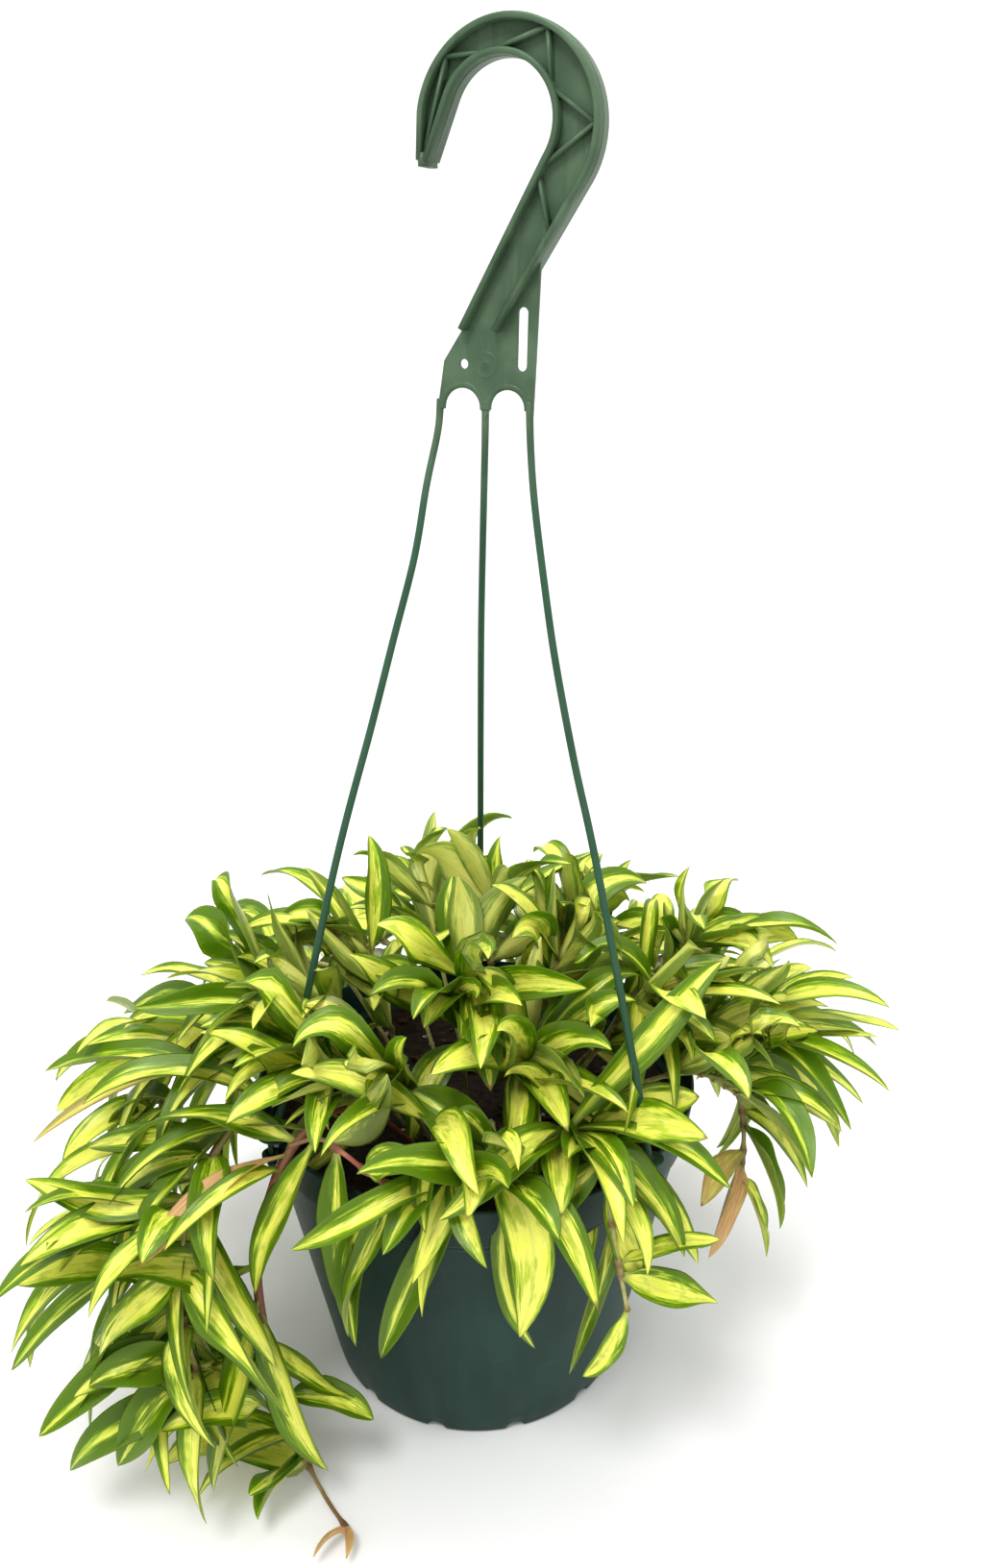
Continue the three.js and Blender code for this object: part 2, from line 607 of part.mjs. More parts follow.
let taken = keepOut();
VINES.forEach((vine, i) => {
  const points = vine.route.map((p) => at(...p));
  const curve = new THREE.CatmullRomCurve3(points, false, "catmullrom", 0.5);
  const leaves = leavesOf(vine, curve, randomFrom(1000 + i));
  const { body, room } = vineBodies(vine, curve, leaves, taken);
  addPiece(vine.name, body, COLOURS.vine, 0.4);
  taken = taken.add(room);
});

export default group;
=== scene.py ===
import math

import bmesh
import bpy
import numpy as np
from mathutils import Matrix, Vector


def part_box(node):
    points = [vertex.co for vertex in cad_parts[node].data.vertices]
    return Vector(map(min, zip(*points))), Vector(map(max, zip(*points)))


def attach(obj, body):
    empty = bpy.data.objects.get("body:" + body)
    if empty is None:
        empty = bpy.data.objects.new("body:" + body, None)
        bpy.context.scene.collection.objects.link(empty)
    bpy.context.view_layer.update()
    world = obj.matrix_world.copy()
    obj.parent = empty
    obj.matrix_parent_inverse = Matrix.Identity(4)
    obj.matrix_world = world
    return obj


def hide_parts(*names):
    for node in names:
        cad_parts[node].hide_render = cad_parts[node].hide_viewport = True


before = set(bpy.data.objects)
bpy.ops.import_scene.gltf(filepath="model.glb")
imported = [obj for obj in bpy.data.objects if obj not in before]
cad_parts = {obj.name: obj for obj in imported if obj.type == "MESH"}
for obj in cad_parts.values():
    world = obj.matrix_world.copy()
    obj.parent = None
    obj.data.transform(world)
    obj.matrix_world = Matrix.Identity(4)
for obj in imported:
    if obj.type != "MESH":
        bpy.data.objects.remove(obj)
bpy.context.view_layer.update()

BODY = "root"
MM = 0.001

# ---- The pot -------------------------------------------------------------------------------
# An eight inch tub of dark green plastic, injection moulded in one shot: a thin tapered wall, a
# rolled band under the lip that stiffens it, and arched drainage notches round the foot.
POT_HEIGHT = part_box("pot")[1][2]
FOOT_R = 70.5 * MM
WALL_TOP_R = 97.0 * MM
BAND_Z = 131.0 * MM
BAND_R = 99.4 * MM
RIM_R = 101.6 * MM
WALL = 1.6 * MM
NOTCHES = 12
NOTCH_HEIGHT = 3.4 * MM


def grid_mesh(name, points):
    """A mesh from points (n, m, 3): one quad between each four neighbours of the grid, with the
    last column joined to the first."""
    n, m = points.shape[:2]
    i, j = np.meshgrid(np.arange(n - 1), np.arange(m), indexing="ij")
    i2, j2 = i + 1, (j + 1) % m
    quads = np.stack([i * m + j, i2 * m + j, i2 * m + j2, i * m + j2], -1).reshape(-1, 4)
    mesh = bpy.data.meshes.new(name)
    mesh.vertices.add(n * m)
    mesh.vertices.foreach_set("co", points.reshape(-1).astype(np.float32))
    mesh.loops.add(quads.size)
    mesh.loops.foreach_set("vertex_index", quads.reshape(-1).astype(np.int32))
    mesh.polygons.add(len(quads))
    mesh.polygons.foreach_set("loop_start", np.arange(0, quads.size, 4, dtype=np.int32))
    mesh.polygons.foreach_set("use_smooth", np.ones(len(quads), bool))
    mesh.update(calc_edges=True)
    return mesh


def add_part(name, mesh, material, node):
    """The object for a finished mesh, in the CAD node's place."""
    mesh.materials.append(material)
    piece = bpy.data.objects.new(name, mesh)
    bpy.context.scene.collection.objects.link(piece)
    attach(piece, BODY)
    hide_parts(node)
    return piece


def add_piece(name, meshes, material, node, weld=2e-6):
    """One object from one or more meshes, welded where they close on themselves, with faces
    turned outwards, in the CAD node's place."""
    bm = bmesh.new()
    for mesh in meshes:
        bm.from_mesh(mesh)
        bpy.data.meshes.remove(mesh)
    bmesh.ops.remove_doubles(bm, verts=bm.verts, dist=weld)
    bmesh.ops.dissolve_degenerate(bm, dist=1e-8, edges=bm.edges)
    bmesh.ops.recalc_face_normals(bm, faces=bm.faces)
    data = bpy.data.meshes.new(name)
    bm.to_mesh(data)
    bm.free()
    return add_part(name, data, material, node)


def rounded(profile, radius, steps=4):
    """A polyline whose inner corners are each replaced by a small curve: a quadratic blend
    between the points that lie radius before and after the corner."""
    profile = np.asarray(profile, float)
    out = [profile[0]]
    for a, b, c in zip(profile[:-2], profile[1:-1], profile[2:]):
        before = b + (a - b) * min(radius / np.linalg.norm(a - b), 0.45)
        after = b + (c - b) * min(radius / np.linalg.norm(c - b), 0.45)
        t = np.linspace(0, 1, steps)[:, None]
        out.extend((1 - t) ** 2 * before + 2 * t * (1 - t) * b + t**2 * after)
    return np.array([*out, profile[-1]])


def turned(name, profile, segments):
    """A turned shape: profile points (r, z) carried round the vertical axis, at
    (r cos a, r sin a, z)."""
    a = np.linspace(0, 2 * np.pi, segments, endpoint=False)[None, :]
    r, z = profile[:, :1], profile[:, 1:]
    points = np.stack([r * np.cos(a), r * np.sin(a), z + 0 * a], -1)
    return grid_mesh(name, points)


def pot_shell():
    """The tub's profile, turned; the foot's edge is then lifted into an arch at each notch:
    z grows by a height times a bump in the angle, fading up the wall."""
    profile = rounded(
        [
            [0, 0], [FOOT_R - 2 * MM, 0], [FOOT_R, 1.2 * MM], [FOOT_R + 1.6 * MM, 8 * MM],
            [WALL_TOP_R - 0.6 * MM, BAND_Z - 3 * MM], [WALL_TOP_R + 0.2 * MM, BAND_Z - 2.2 * MM],
            [WALL_TOP_R + 0.3 * MM, BAND_Z], [BAND_R, BAND_Z + 1.3 * MM],
            [RIM_R - 0.2 * MM, POT_HEIGHT - 2.4 * MM], [RIM_R, POT_HEIGHT - 1.2 * MM],
            [RIM_R - 0.6 * MM, POT_HEIGHT], [RIM_R - WALL, POT_HEIGHT],
            [BAND_R - WALL, BAND_Z + 3 * MM], [WALL_TOP_R - WALL, BAND_Z],
            [FOOT_R - WALL, 2 * MM], [0, 2 * MM],
        ],
        0.9 * MM,
    )
    dense = np.linspace(0, len(profile) - 1, 150)
    profile = np.stack([np.interp(dense, np.arange(len(profile)), c) for c in profile.T], 1)
    mesh = turned("pot", profile, 288)
    co = np.empty(len(mesh.vertices) * 3, np.float32)
    mesh.vertices.foreach_get("co", co)
    x, y, z = co.reshape(-1, 3).T
    turn = np.arctan2(y, x) / (2 * np.pi) * NOTCHES
    from_middle = np.abs(turn - np.floor(turn) - 0.5) * 2
    arch = np.clip(1 - (from_middle / 0.22) ** 2, 0, 1) ** 0.5
    edge = np.clip((np.hypot(x, y) - (FOOT_R - 7 * MM)) / (3 * MM), 0, 1)
    fade = np.clip(1 - z / (9 * MM), 0, 1)
    z = z + NOTCH_HEIGHT * arch * edge * fade
    mesh.vertices.foreach_set("co", np.stack([x, y, z], 1).reshape(-1))
    return mesh


class Socket:
    """A shader value: arithmetic on it adds the Math node that does it, and mix and the other
    methods add the nodes for colours and textures."""

    def __init__(self, tree, out):
        self.tree, self.out = tree, out

    def math(self, operation, *others):
        node = make(self.tree, "ShaderNodeMath", {"operation": operation}, [self, *others])
        return node[0]

    def __add__(self, other):
        return self.math("ADD", other)

    def __mul__(self, other):
        return self.math("MULTIPLY", other)

    def __sub__(self, other):
        return self.math("SUBTRACT", other)

    def __rsub__(self, other):
        return self * -1 + other

    __radd__, __rmul__ = __add__, __mul__

    def step(self, low, high):
        """0 below low, 1 above high, and a smooth rise between."""
        settings = {"interpolation_type": "SMOOTHSTEP", "clamp": True}
        return make(self.tree, "ShaderNodeMapRange", settings, [self, low, high, 0.0, 1.0])[0]


def make(tree, kind, settings=None, inputs=()):
    """Adds one node: its settings are set first, then its sockets, by position from a list or by
    key from a dict, each a value or a link. Returns its outputs as Sockets."""
    node = tree.nodes.new(kind)
    for key, value in (settings or {}).items():
        setattr(node, key, value)
    pairs = inputs.items() if isinstance(inputs, dict) else enumerate(inputs)
    for key, value in pairs:
        if isinstance(value, Socket):
            tree.links.new(value.out, node.inputs[key])
        elif value is not None:
            node.inputs[key].default_value = value
    return [Socket(tree, out) for out in node.outputs if out.enabled]


def mix(tree, factor, a, b):
    """Colour a where factor is 0 and b where it is 1."""
    colours = [c if isinstance(c, Socket) else (*c, 1) for c in (a, b)]
    inputs = {0: factor, 6: colours[0], 7: colours[1]}
    return make(tree, "ShaderNodeMix", {"data_type": "RGBA"}, inputs)[0]


def noise(tree, where, scale, detail=3.0, rough=0.5):
    """Fractal noise from 0 to 1 at a place."""
    inputs = {"Vector": where, "Scale": scale, "Detail": detail, "Roughness": rough}
    return make(tree, "ShaderNodeTexNoise", {}, inputs)[0]


def surface(name, **constants):
    """A new material, its node tree and its Principled shader with constants set on sockets."""
    material = bpy.data.materials.new(name)
    material.use_nodes = True
    tree = material.node_tree
    shader = tree.nodes["Principled BSDF"]
    for key, value in constants.items():
        shader.inputs[key.replace("_", " ")].default_value = value
    return material, tree, shader


def bump(tree, shader, height, strength, distance):
    """Feeds a height through a Bump node to the shader's Normal."""
    inputs = {"Height": height, "Strength": strength, "Distance": distance}
    normal = make(tree, "ShaderNodeBump", {}, inputs)[0]
    tree.links.new(normal.out, shader.inputs["Normal"])


def stretched(tree, where, scale):
    """A place with each axis multiplied, which stretches a pattern."""
    settings = {"operation": "MULTIPLY"}
    return make(tree, "ShaderNodeVectorMath", settings, [where, scale])[0]


def pot_finish():
    """Dark green plastic: faint vertical flow lines, a dusty film low down, handling scuffs."""
    material, tree, shader = surface("pot_plastic", Specular_IOR_Level=0.18)
    place = make(tree, "ShaderNodeTexCoord")[3]
    x, y, z = make(tree, "ShaderNodeSeparateXYZ", {}, [place])
    cloud = noise(tree, place, 22.0, 4.0)
    flow = noise(tree, stretched(tree, place, (90.0, 90.0, 4.0)), 1.0, 3.0)
    fine = noise(tree, place, 900.0, 2.0)
    scuff = noise(tree, stretched(tree, place, (40.0, 40.0, 260.0)), 1.0, 4.0).step(0.63, 0.74)
    low = 1 - z.step(0.0, 0.03)
    dust = (cloud * low).step(0.35, 0.75) * 0.35 + scuff * 0.12
    base = mix(tree, cloud.step(0.35, 0.7), (0.014, 0.038, 0.031), (0.020, 0.049, 0.040))
    base = mix(tree, flow.step(0.45, 0.62) * 0.3, base, (0.025, 0.066, 0.054))
    base = mix(tree, dust, base, (0.12, 0.15, 0.13))
    tree.links.new(base.out, shader.inputs["Base Color"])
    rough = cloud * 0.12 + flow * 0.1 + dust * 0.4 + 0.3
    tree.links.new(rough.out, shader.inputs["Roughness"])
    bump(tree, shader, fine * 0.5 + flow * 0.8 + cloud * 0.6, 0.12, 0.0006)
    return material


pot_plastic = pot_finish()
add_piece("pot_tub", [pot_shell()], pot_plastic, "pot")

# Three small eyes stand out under the lip; each takes the pin of one strand's clip.
CLIP_BEARINGS = (-46, -146, 90)
CLIP_R = 104.0 * MM
PIN_R = 104.9 * MM
CLIP_Z = 156.4 * MM


def placed(mesh, bearing, radius, z, lean=0.0):
    """Turns a mesh made round the vertical axis by lean about its own Y, then sets it at radius
    and bearing from the pot's axis."""
    co = np.empty(len(mesh.vertices) * 3, np.float32)
    mesh.vertices.foreach_get("co", co)
    p = co.reshape(-1, 3).astype(float)
    c, s = math.cos(lean), math.sin(lean)
    p = np.stack([p[:, 0] * c - p[:, 2] * s + radius, p[:, 1], p[:, 0] * s + p[:, 2] * c + z], 1)
    a = math.radians(bearing)
    c, s = math.cos(a), math.sin(a)
    p = np.stack([p[:, 0] * c - p[:, 1] * s, p[:, 0] * s + p[:, 1] * c, p[:, 2]], 1)
    mesh.vertices.foreach_set("co", p.reshape(-1).astype(np.float32))
    return mesh


def eye_ring():
    """A thick flat ring: its rounded section turned round the pin's axis."""
    section = np.array([[1.9, -2.2], [3.7, -2.2], [4.1, -1.8], [4.1, -0.4], [3.7, 0], [1.9, 0],
                        [1.9, -2.2]]) * MM
    return turned("eye", section, 40)


eyes = [placed(eye_ring(), b, PIN_R, 148 * MM) for b in CLIP_BEARINGS]
add_piece("pot_eyes", eyes, pot_plastic, "pot")

# ---- The potting mix -----------------------------------------------------------------------
# Peat and bark fines, slightly domed and a little below the lip, with crumbs of white perlite.
MIX_TOP = 131.5 * MM
MIX_CROWN = 134.5 * MM
MIX_EDGE = WALL_TOP_R - WALL - 0.6 * MM


def lumps(x, y, scale, seed):
    """A soft uneven height from -1 to 1: the sum of eight sine waves of random heading."""
    rng = np.random.default_rng(seed)
    total = 0
    for k in range(8):
        a, phase, f = rng.uniform(0, 6.28, 2).tolist() + [scale * (1 + 0.35 * k)]
        total = total + np.sin(f * (x * math.cos(a) + y * math.sin(a)) + phase) / (1 + 0.3 * k)
    return total / 4


def mix_body():
    """A dome of radius r and angle a with lumps on it, closed by a wall and a flat floor."""
    r = np.concatenate([np.linspace(0, 1, 70), [1, 1, 0]])[:, None]
    a = np.linspace(0, 2 * np.pi, 160, endpoint=False)[None, :]
    x, y = r * MIX_EDGE * np.cos(a), r * MIX_EDGE * np.sin(a)
    rough = 1.1 * MM * lumps(x, y, 220, 3) + 0.7 * MM * lumps(x, y, 900, 4)
    z = MIX_CROWN - (MIX_CROWN - MIX_TOP) * r**2 + rough * np.clip((1 - r) * 12, 0, 1)
    z[-3], z[-2:] = MIX_TOP - 1 * MM, 100 * MM
    narrow = np.ones_like(r)
    narrow[-2] = 0.9
    return grid_mesh("mix", np.stack([x * narrow, y * narrow, z], -1))


def crumbs(name, count, size, seed, flat=1.0):
    """Small lumps lying on the mix: each a ball of 6 by 8 points pushed in and out at random."""
    rng = np.random.default_rng(seed)
    reach = MIX_EDGE * 0.95 * np.sqrt(rng.uniform(0.02, 1, count))
    bearing = rng.uniform(0, 2 * np.pi, count)
    up = np.linspace(0, np.pi, 6)[None, :, None]
    turn = np.linspace(0, 2 * np.pi, 8, endpoint=False)[None, None, :]
    r = size * rng.uniform(0.6, 1.3, count)[:, None, None]
    r = r * (1 + 0.25 * rng.normal(size=(count, 6, 8)) * np.sin(up))
    cx, cy = (reach * np.cos(bearing))[:, None, None], (reach * np.sin(bearing))[:, None, None]
    z0 = MIX_CROWN - (MIX_CROWN - MIX_TOP) * (reach / MIX_EDGE) ** 2
    z = z0[:, None, None] + 0.3 * size + r * np.cos(up) * flat
    x = cx + r * np.sin(up) * np.cos(turn)
    y = cy + r * np.sin(up) * np.sin(turn) * 0.7
    ball = np.stack([x, y, z], -1)
    return [grid_mesh(name, one) for one in ball]


def mix_finish(name, dark, light, scale, rough):
    """Crumbly matter: two shades broken up by noise at two sizes, with a coarse bump."""
    material, tree, shader = surface(name, Specular_IOR_Level=0.25)
    place = make(tree, "ShaderNodeTexCoord")[3]
    coarse = noise(tree, place, scale, 5.0, 0.65)
    fine = noise(tree, place, scale * 6, 3.0, 0.6)
    base = mix(tree, (coarse * 0.6 + fine * 0.4).step(0.38, 0.66), dark, light)
    tree.links.new(base.out, shader.inputs["Base Color"])
    tree.links.new((fine * 0.25 + rough).out, shader.inputs["Roughness"])
    bump(tree, shader, coarse + fine * 0.5, 0.7, 0.002)
    return material


peat = mix_finish("potting_mix", (0.010, 0.007, 0.005), (0.055, 0.034, 0.020), 260.0, 0.65)
perlite = mix_finish("perlite", (0.45, 0.44, 0.40), (0.80, 0.79, 0.75), 700.0, 0.6)
bark = mix_finish("bark_chips", (0.030, 0.016, 0.009), (0.13, 0.07, 0.035), 400.0, 0.6)
add_piece("mix_surface", [mix_body()], peat, "potting_mix")
add_piece("mix_perlite", crumbs("perlite", 90, 1.5 * MM, 11), perlite, "potting_mix")
add_piece("mix_bark", crumbs("bark", 170, 2.4 * MM, 12, 0.4), bark, "potting_mix")

# ---- The hanger's hook -----------------------------------------------------------------------
# The whole hanger is one moulding of green plastic. Its hook is a thin web between two deep
# flanges, braced by a zigzag rib, and runs down into a flat plate with a slot and a small hole.
YAW = math.radians(-22)
OUTER = (15.5, 546.0, 34.5)
INNER = (12.5, 547.5, 20.5)
SHANK_ANGLE, SHOULDER_ANGLE, BEAK_ANGLE = -35, 170.4, 157
PLATE_BOTTOM = 447.0


def bow(circle, start, end, steps, inset=0.0):
    """Points on a circle (x, z, r) from one bearing to another, in millimetres."""
    a = np.radians(np.linspace(start, end, steps))
    return np.stack([circle[0] + (circle[2] + inset) * np.cos(a),
                     circle[1] + (circle[2] + inset) * np.sin(a)], 1)


def stand(flat, depth):
    """Puts points (x, z) of the flat hook, at a depth across it, into their place in metres:
    turned by YAW round the vertical."""
    x, z = flat[..., 0], flat[..., 1]
    c, s = math.cos(YAW), math.sin(YAW)
    return np.stack([x * c - depth * s, x * s + depth * c, z + 0 * depth], -1) * MM


def strip(name, line, width, depth, soften=0.45):
    """A rounded rectangular section of width by depth carried along a flat line: at each point
    the section lies across the line's own heading."""
    line = rounded(line, 0.8, 3) if len(line) < 12 else np.asarray(line, float)
    heading = np.gradient(line, axis=0)
    heading /= np.linalg.norm(heading, axis=1, keepdims=True)
    normal = np.stack([-heading[:, 1], heading[:, 0]], 1)
    w, d, s = width / 2, depth / 2, soften
    section = np.array([[w - s, -d], [w, -d + s], [w, d - s], [w - s, d],
                        [-w + s, d], [-w, d - s], [-w, -d + s], [-w + s, -d]])
    flat = line[:, None, :] + normal[:, None, :] * section[None, :, :1]
    points = stand(flat, section[None, :, 1])
    caps = [points[[k]].mean(1, keepdims=True).repeat(8, 1) for k in (0, -1)]
    return grid_mesh(name, np.concatenate([caps[0], points, caps[1]]))


def plate_mesh():
    """The web and plate: their outline with its arches, slot and hole, filled as a flat curve
    and thickened, then stood in place."""
    left, right = (-3.9, PLATE_BOTTOM + 3, 7.8), (14.7, PLATE_BOTTOM + 3, 7.4)
    outline = np.concatenate([
        [[-19.4, 537.0]], bow(OUTER, SHOULDER_ANGLE, SHANK_ANGLE, 70),
        [[27.5, 503], [25.5, 460], [24.8, PLATE_BOTTOM]],
        bow(right, 0, 180, 24), [[5.6, PLATE_BOTTOM - 1]], bow(left, 0, 180, 24),
        [[-14.4, PLATE_BOTTOM], [-12.5, 458], [-11, 467], [-3.5, 478]],
        bow(INNER, SHANK_ANGLE, BEAK_ANGLE, 50), [[-14.4, 537], [-17, 534]],
    ])
    slot = np.concatenate([bow((21, 484.3, 2.2), 0, 180, 14), bow((20.6, 465.7, 2.2), 180, 360, 14)])
    hole = bow((-3, 466, 2), 0, 345, 24)
    curve = bpy.data.curves.new("plate", "CURVE")
    curve.dimensions, curve.fill_mode = "2D", "BOTH"
    curve.extrude, curve.bevel_depth, curve.bevel_resolution = 0.8, 0.2, 1
    for loop in (outline, slot, hole):
        spline = curve.splines.new("POLY")
        spline.points.add(len(loop) - 1)
        flat = np.concatenate([loop, np.zeros((len(loop), 1)), np.ones((len(loop), 1))], 1)
        spline.points.foreach_set("co", flat.reshape(-1).astype(np.float32))
        spline.use_cyclic_u = True
    holder = bpy.data.objects.new("plate", curve)
    bpy.context.scene.collection.objects.link(holder)
    bpy.context.view_layer.update()
    shown = holder.evaluated_get(bpy.context.evaluated_depsgraph_get())
    mesh = bpy.data.meshes.new_from_object(shown)
    bpy.data.objects.remove(holder)
    co = np.empty(len(mesh.vertices) * 3, np.float32)
    mesh.vertices.foreach_get("co", co)
    p = co.reshape(-1, 3).astype(float)
    mesh.vertices.foreach_set("co", stand(p[:, :2], -p[:, 2]).reshape(-1).astype(np.float32))
    return mesh


def hanger_finish():
    """Green plastic, glossier than the pot: cloudy sink marks, fine flow lines, pale edges; painted
    shade low down.
    """
    material, tree, shader = surface("hanger_plastic", Specular_IOR_Level=0.22)
    place = make(tree, "ShaderNodeTexCoord")[3]
    cloud = noise(tree, place, 60.0, 3.0)
    flow = noise(tree, stretched(tree, place, (160.0, 160.0, 30.0)), 1.0, 4.0)
    fine = noise(tree, place, 1500.0, 2.0)
    base = mix(tree, cloud.step(0.35, 0.68), (0.062, 0.105, 0.062), (0.090, 0.142, 0.086))
    base = mix(tree, flow.step(0.5, 0.66) * 0.35, base, (0.12, 0.18, 0.11))
    # Painted shade: the plastic is mixed three quarters of the way to a dark green from z 0.455 m
    # down to 0.40 m and below, so the strands and clips under the plate read darker than the hook.
    low = 1 - make(tree, "ShaderNodeSeparateXYZ", {}, [place])[2].step(0.40, 0.455)
    base = mix(tree, low * 0.75, base, (0.018, 0.072, 0.040))
    tree.links.new(base.out, shader.inputs["Base Color"])
    tree.links.new((cloud * 0.14 + flow * 0.12 + 0.24).out, shader.inputs["Roughness"])
    bump(tree, shader, cloud * 0.8 + flow * 0.5 + fine * 0.3, 0.15, 0.0005)
    return material


hanger_plastic = hanger_finish()
add_piece("hook_web", [plate_mesh()], hanger_plastic, "hanger")

FLANGE_W, FLANGE_D = 2.2, 12.0
outer_flange = np.concatenate([
    [[-18.2, 536.0]], bow(OUTER, SHOULDER_ANGLE, SHANK_ANGLE, 80, -FLANGE_W / 2), [[10.8, 478]]])
inner_flange = np.concatenate([
    [[-2.4, 478.5]], bow(INNER, SHANK_ANGLE, BEAK_ANGLE, 60, FLANGE_W / 2), [[-15.8, 536.0]]])
flanges = [strip("flange", line, FLANGE_W, FLANGE_D) for line in (outer_flange, inner_flange)]
flanges.append(strip("beak", [[-17.0, 533.9], [-17.0, 538.5]], 3.6, FLANGE_D, 1.2))
add_piece("hook_flanges", flanges, hanger_plastic, "hanger", weld=1e-7)

ZIGZAG = [[-17, 537], [-7.6, 568.5], [8, 568.8], [30.2, 575.4], [31.5, 557], [48, 545.5],
          [27, 531.5], [32, 510]]
ribs = [strip("rib", [a, b], 1.6, 9.0, 0.4) for a, b in zip(ZIGZAG[:-1], ZIGZAG[1:])]
add_piece("hook_ribs", ribs, hanger_plastic, "hanger", weld=1e-7)


def gate_mark():
    """The scar where the plastic entered the mould: a low ring with a pit, on the plate's face."""
    r = np.array([0, 0.5, 0.9, 1.2, 3.9, 4.4, 4.9, 5.3])[:, None]
    h = np.array([0.15, 0.1, 0.55, 0.12, 0.1, 0.32, 0.1, -0.3])[:, None]
    a = np.linspace(0, 2 * np.pi, 40, endpoint=False)[None, :]
    flat = np.stack([6 + r * np.cos(a), 465.7 + r * np.sin(a)], -1)
    return grid_mesh("gate", stand(flat, -(1.0 + h) + 0 * a))


add_piece("plate_gate_mark", [gate_mark()], hanger_plastic, "hanger")

# ---- The strands and clips ---------------------------------------------------------------------
# Three thin flexible strands, moulded with the plate, flare out to the rim. Each ends in a small
# disc that sits on the lip and a barbed pin that passes down through the pot's eye.
STRAND_R = 1.35
STRANDS = [
    [[21.8, -9, 453], [22.4, -10, 436], [24, -13, 416], [27.8, -20, 387], [32.4, -28, 357],
     [40, -38, 319], [49, -50, 280], [65.5, -68, 197]],
    [[-12.3, 5, 453], [-13.5, 4, 441], [-18, -2, 421], [-23, -9, 394], [-31.5, -18, 363],
     [-40.5, -27, 330], [-56, -40, 275], [-78, -52, 182]],
    [[5.2, -2, 453], [4.9, 0, 436], [4.2, 8, 410], [3.4, 19, 380], [2.8, 30, 352],
     [2.2, 48, 300], [1.5, 72, 223], [0.4, 98, 172]],
]


def spline(points, places):
    """A smooth curve through points at places from 0 to 1: between two points it is the cubic
    whose slope at each is half the way from the point before to the point after."""
    p = np.asarray(points, float)
    p = np.concatenate([2 * p[:1] - p[1:2], p, 2 * p[-1:] - p[-2:-1]])
    t = np.asarray(places, float) * (len(p) - 3)
    k = np.clip(np.floor(t).astype(int), 0, len(p) - 4)
    t = (t - k)[:, None]
    a, b, c, d = p[k], p[k + 1], p[k + 2], p[k + 3]
    m, n = (c - a) / 2, (d - b) / 2
    return (2 * b - 2 * c + m + n) * t**3 + (-3 * b + 3 * c - 2 * m - n) * t**2 + m * t + b


def tube_rings(path, radius, sides=12):
    """Rings (n, sides, 3) of a varying radius, each square to the path at its point."""
    path = np.asarray(path, float)
    heading = np.gradient(path, axis=0)
    heading /= np.linalg.norm(heading, axis=1, keepdims=True) + 1e-12
    steep = abs(heading[:, 2]).mean() > 0.6
    across = np.cross(heading, [0.94, 0.31, 0.0] if steep else [0.31, 0.17, 0.94])
    across /= np.linalg.norm(across, axis=1, keepdims=True)
    other = np.cross(heading, across)
    a = np.linspace(0, 2 * np.pi, sides, endpoint=False)[None, :, None]
    radius = np.broadcast_to(np.asarray(radius, float), (len(path),))[:, None, None]
    return path[:, None] + radius * (np.cos(a) * across[:, None] + np.sin(a) * other[:, None])


def tube(name, path, radius, sides=12):
    """A round section carried along a path, with the ends drawn in to a point."""
    ring = tube_rings(path, radius, sides)
    ends = [ring[[k]].mean(1, keepdims=True).repeat(sides, 1) for k in (0, -1)]
    return grid_mesh(name, np.concatenate([ends[0], ring, ends[1]]))


def strand_mesh(points, bearing):
    """A strand: thicker where it leaves the plate and where it meets its disc."""
    a = math.radians(bearing)
    foot = [104 * math.cos(a), 104 * math.sin(a), 156.4]
    t = np.linspace(0, 1, 120)
    radius = STRAND_R + 0.3 * t + 0.2 * np.exp(-t * 9) + 0.3 * np.exp(-(1 - t) * 14)
    return tube("strand", spline([*points, foot], t) * MM, radius * MM)


def arch_bead(circle):
    """The raised bead along an arch of the plate's lower edge."""
    return tube("bead", stand(bow(circle, -4, 184, 40), np.zeros(40)), 1.45 * MM)


def disc_mesh(bearing):
    """The clip's disc: a thin turned plate with a rounded edge and a low boss."""
    profile = rounded([[0, -0.7], [6.6, -0.7], [6.9, 0.0], [6.5, 0.6], [2.6, 0.8], [1.6, 2.2],
                       [0, 2.2]], 0.3)
    return placed(turned("disc", profile * MM, 48), bearing, CLIP_R, CLIP_Z, math.radians(11))


def pin_mesh(bearing):
    """The pin below the disc, ending in a barb."""
    profile = rounded([[0, 0], [1.3, 0], [1.3, -12.8], [2.1, -13.2], [2.1, -14.0], [0.8, -17.2],
                       [0, -17.2]], 0.25)
    return placed(turned("pin", profile[::-1] * MM, 24), bearing, PIN_R, CLIP_Z)


strand_meshes = [strand_mesh(p, b) for p, b in zip(STRANDS, CLIP_BEARINGS)]
strand_meshes.append(arch_bead((-3.9, PLATE_BOTTOM + 3, 8.6)))
strand_meshes.append(arch_bead((14.7, PLATE_BOTTOM + 3, 8.2)))
add_piece("hanger_strands", strand_meshes, hanger_plastic, "hanger", weld=1e-7)
clip_meshes = [m for b in CLIP_BEARINGS for m in (disc_mesh(b), pin_mesh(b))]
add_piece("hanger_clips", clip_meshes, hanger_plastic, "hanger", weld=1e-7)

# ---- The vines -----------------------------------------------------------------------------------
# Each vine is one thin woody-green stem with opposite pairs of leaves. The leaves are thick, waxy
# and channelled along the midrib, cream in the middle and green towards the margins.
STEM_R = 1.1
UP = np.array([0.0, 0.0, 1.0])


def random_from(seed):
    """Numbers from 0 to 1 made by mixing the bits of a counter, the same on every machine."""
    state, low = seed, 0xFFFFFFFF
    while True:
        state = (state + 0x6D2B79F5) & low
        t = ((state ^ (state >> 15)) * (1 | state)) & low
        t = ((t + (((t ^ (t >> 7)) * (61 | t)) & low)) & low) ^ t
        yield ((t ^ (t >> 14)) & low) / 4294967296


